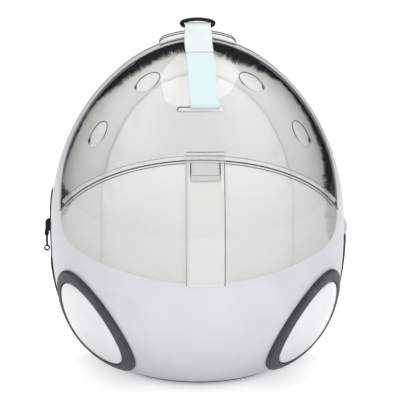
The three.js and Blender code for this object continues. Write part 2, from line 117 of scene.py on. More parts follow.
# Zip and back
TAPE_FRONT = 0.0604
TAPE_BACK = 0.0700
TAPE_FLOOR = 0.003
TAPE_PROUD = 0.0026
TAPE_PROUD_RIGHT = 0.0052
TAPE_PROUD_LOW = 0.0043  # left side, below the hanging puller
TAPE_STEP = 0.1235
TAPE_STEP_RUN = 0.012
TAPE_END_LEFT = 0.196  # above its ends the tape is sunk
TAPE_END_RIGHT = 0.143
TAPE_END_RUN = 0.010
TAPE_SUNK = 0.0015
TAPE_FOOT = (0.015, 0.040)  # heights between which the tape comes out at the base
TAPE_FOOT_SUNK = 0.0006
ZIP_BUMP = [  # where the zip ends on the right
    (0.1668, 0.1452), (0.1728, 0.1462), (0.1750, 0.1498),
    (0.1748, 0.1588), (0.1714, 0.1654), (0.1668, 0.1664),
]
ZIP_BUMP_SPAN = (0.0492, 0.0596)
TOOTH_SIZE = (0.0012, 0.0034, 0.0013)
TOOTH_SHIFT = 0.0006  # every other tooth stands further back
TOOTH_CLEAR = 0.0015  # no teeth along the floor
BACK_END = 0.0914
BACK_SLAB = (0.0712, 0.0838)
BACK_UPRIGHTS = (-0.098, -0.034, 0.034, 0.098)  # sewn lines
BACK_LEVELS = (0.063, 0.145, 0.235, 0.327)
LINING_SLAB = (0.0642, 0.0696)
LINING_SEWN = 0.0688  # behind this the cloth is held flat
ARCH_SLAB = (0.0556, 0.0613)
ARCH_SEWN = 0.0606
SLAB_ROUND = 0.002
PIPING_RADIUS = 0.0024
PIPING_Y = 0.0745
# How far the black edge reaches in from the outline: height, left, right, in millimetres
BLACK_REACH = [
    (0, 10, 10), (130, 11, 14), (150, 10, 16), (161, 11, 18), (173, 18, 17), (185, 22, 16),
    (195, 20, 17), (203, 12, 17), (212, 7, 16), (232, 7.5, 13), (255, 8.5, 11.5), (278, 8.5, 10),
    (302, 9, 9), (325, 15, 8.5), (336, 16.5, 12), (348, 17, 15), (360, 17, 18.5), (380, 17, 18.5),
]
BLACK_TOP = 0.017
FRINGE_INSET = 0.0030
LINING_INSET = 0.0065
FRINGE_Y = 0.0612
FRINGE_SPREAD = 1.25
FRINGE_WANDER = 0.0008  # uneven inner edge
FRINGE_LEAST = 0.001
WALL_THICK = 0.0006
WALL_BEGIN = 0.035  # turns beyond the window's edge and short of the zip plane
WALL_STOP = 0.004
WALL_SPAN = (0.200, 0.350)
WALL_STEPS = 69
ARCH_HALF = 0.120
ARCH_FOOT = 0.046
ARCH_SHOULDER = 0.170
ARCH_TOP = 0.336
ARCH_SHRINK = (0.952, 0.985)  # the cushion is a little smaller than its solid

# Handle strap, sleeve and ring
STRAP_WIDTH = 0.030
STRAP_THICK = 0.0016
STRAP_SWAY = 0.005
SWAY_SPAN = (0.306, 0.370)  # heights between which the strap leans to one side
WRAP_SPAN = (0.338, 0.362)  # and bends round the dome
WRAP_TOP = 0.366
SQUEEZE_SPAN = (0.379, 0.386)  # and narrows in the ring
STRAP_FRONT = 0.020  # only forward of this distance from the zip plane
SLEEVE_WIDTH = 0.031
SLEEVE_THICK = 0.0009
RING_SQUEEZE = 0.06
STITCH_SIZE = (0.0021, 0.0005, 0.0005)
STITCH_STEP = 0.0030
STITCH_BOX = (0.0115, 0.3385, 0.3585)  # half width, foot and head of the sewn box
TOP_RING = {"half_width": 0.0184, "half_height": 0.0048, "rod": 0.0022, "reach": 0.014, "height": 0.3904}

# Shoulder straps
SHOULDER_ACROSS = 0.050
SHOULDER_WIDTH = 0.050
PAD_CORNER = 0.014
SHOULDER_THICK = 0.010
WEB_WIDTH = 0.025
WEB_THICK = 0.0018

# Studio
PAPER_TONE = 0.86
PAPER_GLOW = 0.22
PAPER_GLOW_SEEN = 0.15
SOFT_BOX_SIZE = (1.28, 1.75, 1.0)
SOFT_BOX_TOWARD = (0, -0.36, -0.93)
SOFT_BOX_FAR = 3.0
SOFT_BOX_POWER = 3.6
FILL_PLACE = (0.15, -3.1, 1.5)
FILL_SIZE = 2.4
FILL_POWER = 54.0
SKY = 0.80
SKY_SEEN = 0.30
SKY_MIRRORED = 0.58

# Camera of the photograph
CAMERA_TURN = 1.4
CAMERA_RISE = 9.0
CAMERA_AIM = (0.0009, -0.030, 0.1993)
CAMERA_FAR = 1.6
CAMERA_LENS = 130.3

turn, rise = math.radians(CAMERA_TURN), math.radians(CAMERA_RISE)
sight = Vector((math.sin(turn) * math.cos(rise), math.cos(turn) * math.cos(rise), -math.sin(rise)))
camera_data = bpy.data.cameras.new("photo_camera")
camera_data.lens = CAMERA_LENS
camera_data.sensor_width = 36.0
camera_data.clip_start = 0.05
camera_data.clip_end = 100.0
camera = bpy.data.objects.new("photo_camera", camera_data)
scene.collection.objects.link(camera)
camera.location = Vector(CAMERA_AIM) - sight * CAMERA_FAR
camera.rotation_euler = sight.to_track_quat("-Z", "Y").to_euler()
scene.camera = camera


# Lines and rounds
def unit(v):
    """Vectors brought to length 1."""
    return v / np.linalg.norm(v, axis=-1, keepdims=True)


def run(points):
    """Length of a line up to each of its points."""
    return np.concatenate([[0], np.cumsum(np.linalg.norm(np.diff(points, axis=0), axis=1))])


def nth(share, count):
    """Number of the step that a share of a grid lies on."""
    return np.rint(share * count).astype(int)


def circle(count):
    """Points of a round of radius 1."""
    angle = np.linspace(0, 2 * np.pi, count, endpoint=False)
    return np.stack([np.cos(angle), np.sin(angle)], -1)


# Egg surface
def girth(z):
    """Half width and depth at a height, as shares of their largest."""
    z = np.asarray(z, float)
    up = np.clip((z - BELLY) / (HEIGHT - BELLY), 0, 1)
    down = np.clip((BELLY - z) / BOWL_REACH, 0, 1)
    dome = (1 - up**2) ** DOME_POWER
    bowl = (1 - down**BOWL_POWER_IN) ** (1 / BOWL_POWER_OUT)
    return np.where(z >= BELLY, dome, bowl)


def egg_normal(z, turn):
    """Outward normal of the egg."""
    z, turn = np.broadcast_arrays(np.asarray(z, float), np.asarray(turn, float))
    low = np.clip(z - 2e-5, BELLY - BOWL_REACH + 1e-7, HEIGHT - 2e-7)
    high = np.clip(z + 2e-5, BELLY - BOWL_REACH + 2e-7, HEIGHT - 1e-7)
    slope = (girth(high) - girth(low)) / (high - low)
    n = np.stack([DEPTH * np.sin(turn), -HALF_WIDTH * np.cos(turn), -HALF_WIDTH * DEPTH * slope], -1)
    return unit(n)


def egg(z, turn, out=0.0):
    """Point of the egg at a height and turn from the front, moved out along the normal."""
    z, turn = np.broadcast_arrays(np.asarray(z, float), np.asarray(turn, float))
    g = girth(z)
    p = np.stack([HALF_WIDTH * g * np.sin(turn), ZIP_Y - DEPTH * g * np.cos(turn), z], -1)
    return p + np.asarray(out, float)[..., None] * egg_normal(z, turn)


def front_egg(x, z, out=0.0):
    """Point of the egg seen at x and z from the front."""
    wide = np.maximum(HALF_WIDTH * girth(z), 1e-9)
    return egg(z, np.arcsin(np.clip(x / wide, -1, 1)), out)


def top_egg(x, reach, out=0.0):
    """Point of the dome seen at x and reach from above."""
    g = np.sqrt((x / HALF_WIDTH) ** 2 + (reach / DEPTH) ** 2)
    z = BELLY + (HEIGHT - BELLY) * np.sqrt(np.maximum(1 - g ** (1 / DOME_POWER), 0))
    return egg(z, np.arctan2(x / HALF_WIDTH, reach / DEPTH), out)


def smooth_line(table, count, scale=0.001):
    """Smooth line through a table of pairs."""
    p = np.array(table, float) * scale
    last = len(p) - 1
    t = np.linspace(0, last, count + 1)
    i = np.minimum(t.astype(int), last - 1)
    w = (t - i)[:, None]
    a, b, c, d = p[np.maximum(i - 1, 0)], p[i], p[i + 1], p[np.minimum(i + 2, last)]
    v0, v1 = (c - a) / 2, (d - b) / 2
    return (2 * b - 2 * c + v0 + v1) * w**3 + (3 * c - 3 * b - 2 * v0 - v1) * w**2 + v0 * w + b


def spaced(points, count, closed=False):
    """Points at even steps along a line."""
    points = np.asarray(points, float)
    if closed:
        points = np.concatenate([points, points[:1]])
    length = run(points)
    at = np.linspace(0, length[-1], count, endpoint=not closed)
    return np.stack([np.interp(at, length, c) for c in points.T], -1)


edge_line = smooth_line(BASE_EDGE, 400)
seam_line = smooth_line(SEAM, 200)


def edge_reach(z):
    """Reach of the shell's edge at a height."""
    return np.interp(z, edge_line[:, 1], edge_line[:, 0])


def seam_height(reach):
    """Height of the seam between the clear panels."""
    return np.interp(reach, seam_line[:, 0], seam_line[:, 1])


# Right half of the window's rim from the front to the top, and of the seam from the front to its corner
heights = np.linspace(*RIM_SPAN, FINE_STEPS)
heights = heights[edge_reach(heights) < DEPTH * girth(heights)]
rim_half = HALF_WIDTH * np.sqrt(girth(heights) ** 2 - (edge_reach(heights) / DEPTH) ** 2)
rim = np.stack([rim_half, heights], -1)
rim[0, 0] = rim[-1, 0] = 0
over_seam = heights > seam_height(edge_reach(heights))
lower_rim = rim[~over_seam]
upper_rim = rim[over_seam][::-1]
corner_reach = edge_reach(lower_rim[-1, 1])
reaches = np.linspace(corner_reach, DEPTH, FINE_STEPS)
seam_square = girth(seam_height(reaches)) ** 2 - (reaches / DEPTH) ** 2
reaches = reaches[seam_square > 0]
seam_square = seam_square[seam_square > 0]
seam = np.stack([HALF_WIDTH * np.sqrt(seam_square), seam_height(reaches)], -1)[::-1]
seam[0, 0] = 0


# Modelling steps
def only(obj):
    """Selects this object alone."""
    if bpy.context.object and bpy.context.object.mode != "OBJECT":
        bpy.ops.object.mode_set(mode="OBJECT")
    bpy.ops.object.select_all(action="DESELECT")
    obj.select_set(True)
    bpy.context.view_layer.objects.active = obj


def begin(name, add, **values):
    """Starts a piece from one of the basic shapes."""
    bpy.ops.object.select_all(action="DESELECT")
    add(**values)
    obj = bpy.context.object
    obj.name = obj.data.name = name
    return obj


def coords(obj):
    co = np.zeros(len(obj.data.vertices) * 3)
    obj.data.vertices.foreach_get("co", co)
    return co.reshape(-1, 3)


def set_coords(obj, co):
    obj.data.vertices.foreach_set("co", np.asarray(co, np.float32).ravel())
    obj.data.update()


def flat_grid(name, columns, rows):
    return begin(name, bpy.ops.mesh.primitive_grid_add, x_subdivisions=columns, y_subdivisions=rows, size=1)


def grid(name, columns, rows, place):
    """Lays a grid on a surface given by its two shares."""
    obj = flat_grid(name, columns, rows)
    co = coords(obj)
    set_coords(obj, place(co[:, 0] + 0.5, co[:, 1] + 0.5))
    return obj


def edit(obj, *steps):
    """Runs mesh operators on all of the piece in edit mode."""
    only(obj)
    bpy.ops.object.mode_set(mode="EDIT")
    for step in steps:
        bpy.ops.mesh.select_all(action="SELECT")
        step()
    bpy.ops.object.mode_set(mode="OBJECT")


def weld():
    bpy.ops.mesh.remove_doubles(threshold=2e-6)


def close():
    bpy.ops.mesh.fill_holes(sides=0)


def face_out():
    bpy.ops.mesh.normals_make_consistent(inside=False)


def modify(obj, kind, **values):
    """Adds a modifier and applies it."""
    only(obj)
    m = obj.modifiers.new(kind.lower(), kind)
    for key, value in values.items():
        setattr(m, key, value)
    bpy.ops.object.modifier_apply(modifier=m.name)


def thicken(obj, wall):
    """Gives a laid surface its wall on the inner side."""
    modify(obj, "SOLIDIFY", thickness=wall, offset=-1, use_even_offset=False)


def round_edges(obj, width, segments=2, angle=35):
    modify(
        obj, "BEVEL", width=width, segments=segments, limit_method="ANGLE",
        angle_limit=math.radians(angle), use_clamp_overlap=True,
    )


def refine(obj, levels=1):
    modify(obj, "SUBSURF", levels=levels, render_levels=levels)


def cut(obj, cutter):
    """Takes one solid out of another."""
    modify(obj, "BOOLEAN", operation="DIFFERENCE", object=cutter, solver="EXACT")
    bpy.data.objects.remove(cutter)


def prism(name, outline, along):
    """Solid from a flat outline in space, drawn out along a vector."""
    obj = begin(name, bpy.ops.mesh.primitive_circle_add, vertices=len(outline), radius=1, fill_type="NGON")
    set_coords(obj, outline)
    edit(
        obj,
        lambda: bpy.ops.mesh.extrude_region_move(TRANSFORM_OT_translate={"value": tuple(along)}),
        face_out,
    )
    return obj


def block(name, size, soft):
    """Small block with softened edges."""
    obj = begin(name, bpy.ops.mesh.primitive_cube_add, size=1)
    set_coords(obj, coords(obj) * size)
    round_edges(obj, soft, segments=1, angle=30)
    return obj


def sweep(name, path, side, up, profile, closed=False, marks=None):
    """Section carried along a path; the UV map holds metres along and round it, or its marks."""
    path, side, up = (np.asarray(a, float) for a in (path, side, up))
    profile = np.asarray(profile, float)
    if profile.ndim == 2:
        profile = np.broadcast_to(profile, (len(path),) + profile.shape)
    count, sides = profile.shape[:2]
    spans = count if closed else count - 1
    obj = flat_grid(name, spans, sides)
    flat = coords(obj)
    i = nth(flat[:, 0] + 0.5, spans)
    j = nth(flat[:, 1] + 0.5, sides)
    section = profile[i % count, j % sides]
    k = i % count
    set_coords(obj, path[k] + side[k] * section[:, :1] + up[k] * section[:, 1:])
    along = run(np.concatenate([path, path[:1]]))
    around = run(np.concatenate([profile[0], profile[0][:1]]))
    if marks is not None:
        around = np.append(marks, marks[0])
    corners = np.zeros(len(obj.data.loops), int)
    obj.data.loops.foreach_get("vertex_index", corners)
    uv = np.stack([along[i[corners]], around[j[corners]]], -1)
    obj.data.uv_layers.active.data.foreach_set("uv", uv.astype(np.float32).ravel())
    edit(obj, weld, *([] if closed else [close]), face_out)
    return obj


def tube(name, path, radius, closed=False, sides=8):
    """Round rod along a path, its radius one number or one for each point."""
    path = np.asarray(path, float)
    if closed:
        tangent = np.roll(path, -1, 0) - np.roll(path, 1, 0)
    else:
        tangent = np.gradient(path, axis=0)
    tangent = unit(tangent)
    lead = (0.31, 0.2, 0.93) if abs(tangent[:, 2]).max() < 0.98 else (0.2, 0.95, 0.1)
    side = unit(np.cross(tangent, lead))
    size = np.broadcast_to(np.asarray(radius, float), (len(path),))
    section = circle(sides)[None] * size[:, None, None]
    return sweep(name, path, side, np.cross(side, tangent), section, closed)


def band(width, thick, across=8, corner=4):
    """Flat section with round edges."""
    flat = np.linspace(-width / 2 + thick / 2, width / 2 - thick / 2, across + 1)
    angle = np.linspace(np.pi / 2, -np.pi / 2, corner + 1)[1:-1]
    right = np.stack([flat[-1] + thick / 2 * np.cos(angle), thick / 2 * np.sin(angle)], -1)
    left = np.stack([flat[0] - thick / 2 * np.cos(angle), -thick / 2 * np.sin(angle)], -1)
    top = np.stack([flat, np.full_like(flat, thick / 2)], -1)
    under = np.stack([flat[::-1], np.full_like(flat, -thick / 2)], -1)
    return np.concatenate([top, right, under, left])


def copies(name, pattern, places):
    """One mesh holding a copy of the pattern at each place: origin and three axes."""
    base = coords(pattern)
    faces = [list(p.vertices) for p in pattern.data.polygons]
    points, polygons = [], []
    for k, (origin, axes) in enumerate(places):
        points.append(np.asarray(origin) + base @ np.asarray(axes))
        polygons += [[v + k * len(base) for v in f] for f in faces]
    mesh = bpy.data.meshes.new(name)
    mesh.from_pydata(np.concatenate(points).tolist(), [], polygons)
    obj = bpy.data.objects.new(name, mesh)
    scene.collection.objects.link(obj)
    bpy.data.objects.remove(pattern)
    edit(obj, face_out)
    return obj


def done(obj, finish, body="carrier", stands_for=(), angle=35):
    """Smooths, paints and hangs a finished piece on its body."""
    only(obj)
    bpy.ops.object.shade_smooth_by_angle(angle=math.radians(angle))
    obj.data.materials.clear()
    obj.data.materials.append(finish)
    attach(obj, body)
    if stands_for:
        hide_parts(*stands_for)
    return obj


def stuffed(obj, voxel, press, cap, held):
    """Fills a padded piece by cloth simulation under pressure; held points are sewn down."""
    only(obj)
    obj.data.remesh_voxel_size = voxel
    bpy.ops.object.voxel_remesh()
    rest = coords(obj)
    weight = np.round(np.clip(held(rest), 0, 1), 1)
    sewn = obj.vertex_groups.new(name="sewn")
    for level in np.unique(weight[weight > 0]):
        sewn.add(np.nonzero(weight == level)[0].tolist(), float(level), "REPLACE")
    cloth = obj.modifiers.new("cloth", "CLOTH")
    cloth.settings.quality = 4
    cloth.settings.use_pressure = True
    cloth.settings.uniform_pressure_force = press
    cloth.settings.vertex_group_mass = "sewn"
    cloth.settings.effector_weights.gravity = 0
    cloth.collision_settings.use_collision = False
    cloth.point_cache.frame_start = 1
    cloth.point_cache.frame_end = 20
    for step in range(1, 21):
        scene.frame_set(step)
    only(obj)
    bpy.ops.object.modifier_apply(modifier="cloth")
    scene.frame_set(1)
    move = coords(obj) - rest
    far = np.maximum(np.linalg.norm(move, axis=1, keepdims=True), 1e-9)
    set_coords(obj, rest + move * np.minimum(1, cap / far))
    obj.vertex_groups.clear()
    refine(obj)
    return obj


# Shader building
def feed(tree, node, values):
    """Sets inputs of a node; values are numbers or the sockets that feed them."""
    for key, value in values.items():
        if isinstance(value, bpy.types.NodeSocket):
            tree.links.new(value, node.inputs[key])
        else:
            node.inputs[key].default_value = value


def put(tree, kind, values=None, **settings):
    """Adds a node with its settings and inputs."""
    n = tree.nodes.new(kind)
    for key, value in settings.items():
        setattr(n, key, value)
    feed(tree, n, values or {})
    return n


def sums(tree, operation, a, b=0.0):
    return put(tree, "ShaderNodeMath", {0: a, 1: b}, operation=operation).outputs[0]


def mixed(tree, share, a, b):
    """Colour between two colours."""
    return put(tree, "ShaderNodeMix", {0: share, 6: (*a, 1), 7: (*b, 1)}, data_type="RGBA").outputs[2]


def ranged(tree, value, low, high, to_low, to_high):
    return put(tree, "ShaderNodeMapRange", {0: value, 1: low, 2: high, 3: to_low, 4: to_high}).outputs[0]


def bumped(tree, height, strength, distance):
    values = {"Height": height, "Strength": strength, "Distance": distance}
    return put(tree, "ShaderNodeBump", values).outputs[0]


def new_group(name, takes, gives):
    """Shader group; its sockets are numbers, apart from one named Vector."""
    tree = bpy.data.node_groups.new(name, "ShaderNodeTree")
    for labels, way in ((takes, "INPUT"), (gives, "OUTPUT")):
        for label in labels:
            kind = "NodeSocketVector" if label == "Vector" else "NodeSocketFloat"
            tree.interface.new_socket(label, in_out=way, socket_type=kind)
    return tree, tree.nodes.new("NodeGroupInput"), tree.nodes.new("NodeGroupOutput")


# Fine moulded or handled unevenness
grain_tree, grain_in, grain_out = new_group("surface_grain", ["Scale"], ["Fine", "Broad"])
place = put(grain_tree, "ShaderNodeTexCoord").outputs["Object"]
fine = put(grain_tree, "ShaderNodeTexNoise", {
    "Vector": place, "Scale": grain_in.outputs["Scale"], "Detail": 3.0, "Roughness": 0.6,
})
broad_scale = sums(grain_tree, "MULTIPLY", grain_in.outputs["Scale"], 0.035)
broad = put(grain_tree, "ShaderNodeTexNoise", {"Vector": place, "Scale": broad_scale, "Detail": 2.0})
feed(grain_tree, grain_out, {"Fine": fine.outputs[0], "Broad": broad.outputs[0]})

# Plain weave of threads over and under each other
weave_tree, weave_in, weave_out = new_group("thread_weave", ["Vector", "Pitch", "Lean"], ["Height"])


def ridges(value):
    """Rounded thread for each whole step."""
    turned = sums(weave_tree, "MULTIPLY", value, math.pi)
    return sums(weave_tree, "ABSOLUTE", sums(weave_tree, "SINE", turned))


split = put(weave_tree, "ShaderNodeSeparateXYZ", {0: weave_in.outputs["Vector"]})
lean = sums(weave_tree, "MULTIPLY", split.outputs[1], weave_in.outputs["Lean"])
warp = sums(weave_tree, "DIVIDE", sums(weave_tree, "ADD", split.outputs[0], lean), weave_in.outputs["Pitch"])
weft = sums(weave_tree, "DIVIDE", split.outputs[1], weave_in.outputs["Pitch"])
steps = sums(weave_tree, "ADD", sums(weave_tree, "FLOOR", warp), sums(weave_tree, "FLOOR", weft))
parity = sums(weave_tree, "FLOORED_MODULO", steps, 2.0)
picked = put(weave_tree, "ShaderNodeMix", {0: parity, 2: ridges(warp), 3: ridges(weft)}, data_type="FLOAT")
feed(weave_tree, weave_out, {"Height": picked.outputs[0]})


def grain(tree, scale):
    n = put(tree, "ShaderNodeGroup", {"Scale": scale}, node_tree=grain_tree)
    return n.outputs["Fine"], n.outputs["Broad"]


def weave(tree, vector, pitch, lean=0.0):
    values = {"Vector": vector, "Pitch": pitch, "Lean": lean}
    return put(tree, "ShaderNodeGroup", values, node_tree=weave_tree).outputs["Height"]


def new_finish(name):
    m = bpy.data.materials.new(name)
    m.use_nodes = True
    return m, m.node_tree, m.node_tree.nodes["Principled BSDF"]


def moulded(name, light, dark, rough, scale=900.0, bump=0.05, coat=0.0, specular=0.5):
    """Moulded plastic or rubber with a faint grain and slow change of tone."""
    m, tree, shader = new_finish(name)
    fine, broad = grain(tree, scale)
    feed(tree, shader, {
        "Base Color": mixed(tree, ranged(tree, broad, 0.35, 0.65, 0, 1), dark, light),
        "Roughness": ranged(tree, fine, 0.3, 0.7, rough * 0.88, rough * 1.12),
        "Normal": bumped(tree, fine, bump, 0.0002),
        "Specular IOR Level": specular,
        "Coat Weight": coat,
        "Coat Roughness": 0.08,
    })
    return m


def cloth_finish(
    name, light, dark, pitch, flat=False, lean=0.0, bump=0.5, sheen=0.25, rough=0.85, depth=0.0003
):
    """Woven cloth; flat uses the front view of the piece in place of its UV map."""
    m, tree, shader = new_finish(name)
    coordinate = put(tree, "ShaderNodeTexCoord")
    vector = coordinate.outputs["UV"]
    if flat:
        parts = put(tree, "ShaderNodeSeparateXYZ", {0: coordinate.outputs["Object"]})
        vector = put(tree, "ShaderNodeCombineXYZ", {0: parts.outputs[0], 1: parts.outputs[2]}).outputs[0]
    threads = weave(tree, vector, pitch, lean)
    fine, broad = grain(tree, 700.0)
    raised = ranged(tree, threads, 0, 0.9, 0.35, 1)
    share = sums(tree, "MULTIPLY", raised, ranged(tree, broad, 0.3, 0.7, 0.8, 1))
    feed(tree, shader, {
        "Base Color": mixed(tree, share, dark, light),
        "Roughness": ranged(tree, fine, 0.3, 0.7, rough * 0.92, min(1, rough * 1.08)),
        "Normal": bumped(tree, threads, bump, depth),
        "Sheen Weight": sheen,
        "Sheen Roughness": 0.45,
        "Specular IOR Level": 0.25,
    })
    return m


def frayed_finish(name, light, dark):
    """Dark pile cloth that thins out in uneven streaks toward its free edge, v from 0 to 1."""
    m, tree, shader = new_finish(name)
    place = put(tree, "ShaderNodeSeparateXYZ", {0: put(tree, "ShaderNodeTexCoord").outputs["UV"]})
    along, across = place.outputs[:2]

    def streaks(density, detail):
        drawn = put(tree, "ShaderNodeCombineXYZ", {0: sums(tree, "MULTIPLY", along, density), 1: across})
        values = {"Vector": drawn.outputs[0], "Scale": 1.0, "Detail": detail}
        return put(tree, "ShaderNodeTexNoise", values).outputs[0]

    hair, tuft = streaks(900.0, 2.0), streaks(120.0, 1.0)
    ragged = ranged(tree, hair, 0.2, 0.8, -0.22, 0.22)
    uneven = sums(tree, "ADD", ragged, ranged(tree, tuft, 0.2, 0.8, -0.16, 0.16))
    feed(tree, shader, {
        "Alpha": ranged(tree, sums(tree, "ADD", across, uneven), 0.48, 0.94, 1, 0),
        "Base Color": mixed(tree, hair, dark, light),
        "Roughness": 0.9,
        "Specular IOR Level": 0.1,
    })
    return m


def painted_shade_finish(name, front, back):
    """Smooth cloth with painted shade: it darkens from the window's edge, u 0, to the back, u 1."""
    m, tree, shader = new_finish(name)
    place = put(tree, "ShaderNodeSeparateXYZ", {0: put(tree, "ShaderNodeTexCoord").outputs["UV"]})
    fine = grain(tree, 900.0)[0]
    feed(tree, shader, {
        "Base Color": mixed(tree, ranged(tree, place.outputs[0], 0, 1, 0, 1), front, back),
        "Normal": bumped(tree, fine, 0.1, 0.0002),
        "Roughness": 0.8,
        "Specular IOR Level": 0.2,
    })
    return m


def clear_finish(
    name, tint, veil, veil_colour, ior, most=1.0, rim_fade=0.0, rim_veil=0.0, veil_rough=0.35
):
    """Clear plastic: light passes straight through, with a milky veil and reflections by angle."""
    m, tree, shader = new_finish(name)
    broad = grain(tree, 60.0)[1]
    passing = put(tree, "ShaderNodeBsdfTransparent", {"Color": (*tint, 1)})
    veiling = {"Base Color": (*veil_colour, 1), "Roughness": veil_rough, "Specular IOR Level": 0.2}
    feed(tree, shader, veiling)
    facing = put(tree, "ShaderNodeLayerWeight", {"Blend": 0.5}).outputs["Facing"]
    slanted = sums(tree, "MULTIPLY", sums(tree, "POWER", facing, 16.0), rim_veil)
    milk = sums(tree, "ADD", ranged(tree, broad, 0.3, 0.7, veil * 0.85, veil * 1.15), slanted)
    milky = put(tree, "ShaderNodeMixShader", {0: milk, 1: passing.outputs[0], 2: shader.outputs[0]})
    shine = put(tree, "ShaderNodeBsdfGlossy", {"Roughness": 0.02})
    angle = put(tree, "ShaderNodeFresnel", {"IOR": ior})
    inner = put(tree, "ShaderNodeNewGeometry").outputs["Backfacing"]
    shown = sums(tree, "MINIMUM", angle.outputs[0], most)
    fade = sums(tree, "SUBTRACT", 1.0, sums(tree, "MULTIPLY", sums(tree, "POWER", facing, 3.0), rim_fade))
    share = sums(tree, "MULTIPLY", sums(tree, "MULTIPLY", shown, fade), sums(tree, "SUBTRACT", 1.0, inner))
    whole = put(tree, "ShaderNodeMixShader", {0: share, 1: milky.outputs[0], 2: shine.outputs[0]})
    feed(tree, tree.nodes["Material Output"], {"Surface": whole.outputs[0]})
    return m


shell_white = moulded(
    "shell_white", (0.506, 0.520, 0.535), (0.485, 0.501, 0.519), 0.34, bump=0.03, coat=0.05, specular=0.2
)
ring_grey = moulded(
    "ring_grey", (0.046, 0.046, 0.050), (0.034, 0.034, 0.038), 0.5, scale=1600.0, bump=0.12, specular=0.28
)
cap_white = moulded("cap_white", (0.61, 0.61, 0.623), (0.585, 0.585, 0.60), 0.24, bump=0.02, coat=0.3)
foot_rubber = moulded(
    "foot_rubber", (0.02, 0.02, 0.021), (0.012, 0.012, 0.013), 0.9, scale=1400.0, bump=0.1, specular=0.0
)
black_enamel = moulded(
    "black_enamel", (0.007, 0.007, 0.008), (0.004, 0.004, 0.005), 0.35, bump=0.06, specular=0.12
)
black_gloss = moulded(
    "black_gloss", (0.006, 0.006, 0.007), (0.003, 0.003, 0.004), 0.08, bump=0.02, specular=0.35
)
buckle_black = moulded(
    "buckle_black", (0.022, 0.022, 0.024), (0.014, 0.014, 0.016), 0.5, scale=1800.0, bump=0.15
)
tooth_black = moulded("tooth_black", (0.03, 0.03, 0.032), (0.018, 0.018, 0.02), 0.4, bump=0.05)
clear_dome = clear_finish(
    "clear_dome", (0.985, 0.988, 0.985), 0.012, (0.06, 0.061, 0.06), 1.48,
    most=0.07, rim_fade=1.0, rim_veil=0.8,
)
clear_front = clear_finish(
    "clear_front", (0.98, 0.985, 0.975), 0.25, (0.78, 0.785, 0.765), 1.35,
    most=0.10, rim_fade=0.6, rim_veil=0.5,
)
clear_trim = clear_finish("clear_trim", (0.965, 0.965, 0.96), 0.24, (0.74, 0.75, 0.74), 1.4, veil_rough=0.2)
clear_plate = clear_finish("clear_plate", (0.985, 0.985, 0.98), 0.10, (0.8, 0.81, 0.8), 1.4, most=0.05)
# Painted reflection: dark translucent colour for the dark lines that clear plastic shows at its edges
edge_painted_dark = clear_finish("edge_painted_dark", (0.35, 0.36, 0.36), 0.35, (0.12, 0.12, 0.12), 1.3, veil_rough=0.3)
zip_cloth = cloth_finish("zip_cloth", (0.055, 0.055, 0.06), (0.025, 0.025, 0.028), 0.0009, bump=0.5)
back_mesh = cloth_finish(
    "back_mesh", (0.088, 0.089, 0.095), (0.045, 0.045, 0.05), 0.0022,
    flat=True, lean=0.5, bump=0.6, depth=0.0005,
)
binding_cloth = cloth_finish("binding_cloth", (0.06, 0.06, 0.065), (0.03, 0.03, 0.033), 0.0011, bump=0.5)
pale_cloth = cloth_finish(
    "pale_cloth", (0.84, 0.84, 0.81), (0.77, 0.77, 0.74), 0.0012, flat=True, bump=0.25, sheen=0.3
)
pad_cloth = cloth_finish(
    "pad_cloth", (0.89, 0.89, 0.868), (0.83, 0.83, 0.808), 0.0012, flat=True, bump=0.2, sheen=0.4
)
# Painted shade: light grey at the window's edge, near black towards the back
wall_painted_shade = painted_shade_finish("wall_painted_shade", (0.34, 0.34, 0.34), (0.055, 0.055, 0.055))
black_lining = frayed_finish("black_lining", (0.019, 0.019, 0.019), (0.008, 0.008, 0.008))
cyan_web = cloth_finish(
    "cyan_web", (0.540, 0.655, 0.655), (0.478, 0.604, 0.606), 0.0013,
    lean=0.5, bump=0.45, sheen=0.3, rough=0.75,
)
dark_web = cloth_finish("dark_web", (0.05, 0.05, 0.055), (0.02, 0.02, 0.022), 0.0014, lean=0.5, bump=0.7)
sleeve_white = moulded(
    "sleeve_white", (0.525, 0.568, 0.562), (0.495, 0.538, 0.532), 0.45, scale=1100.0, bump=0.25
)


def painted_dark_line(name, path, size, closed=False, sides=6):
    """Dark line where clear plastic ends or folds: painted reflection and refraction of dark surroundings at
    its edge.
    """
    done(tube(name, path, size, closed=closed, sides=sides), edge_painted_dark)


# White lower shell: rows up the egg, from the centre of the underside to the top
turn_end = np.pi / 2
rows_under = [(FLOOR, k) for k in np.linspace(0.0, 0.96, 7)]
bowl_share = np.linspace(0, 1, 30)
rows_bowl = [(FLOOR + (heights[0] - FLOOR) * s**1.6, 1.0) for s in bowl_share]
rows_edge = [(z, 1.0) for z in spaced(rim[::10], 150)[1:-1, 1]]
rows_top = [(z, 1.0) for z in np.linspace(heights[-1], HEIGHT - 1e-5, 8)]
shell_rows = np.array(rows_under + rows_bowl + rows_edge + rows_top)


def shell_place(u, v):
    z, shrink = shell_rows[nth(v, len(shell_rows) - 1)].T
    share = np.clip(edge_reach(z) / np.maximum(DEPTH * girth(z), 1e-9), 0, 1)
    first = np.where((z > heights[0] + 1e-7) & (z < heights[-1] - 1e-7), np.arccos(share), 0)
    p = egg(z, first + (turn_end - first) * u)
    p[:, 0] *= shrink
    p[:, 1] = ZIP_Y + (p[:, 1] - ZIP_Y) * shrink
    p[shrink < 1, 2] = FLOOR
    p[(p[:, 0] < 1e-6), 0] = 0
    return p


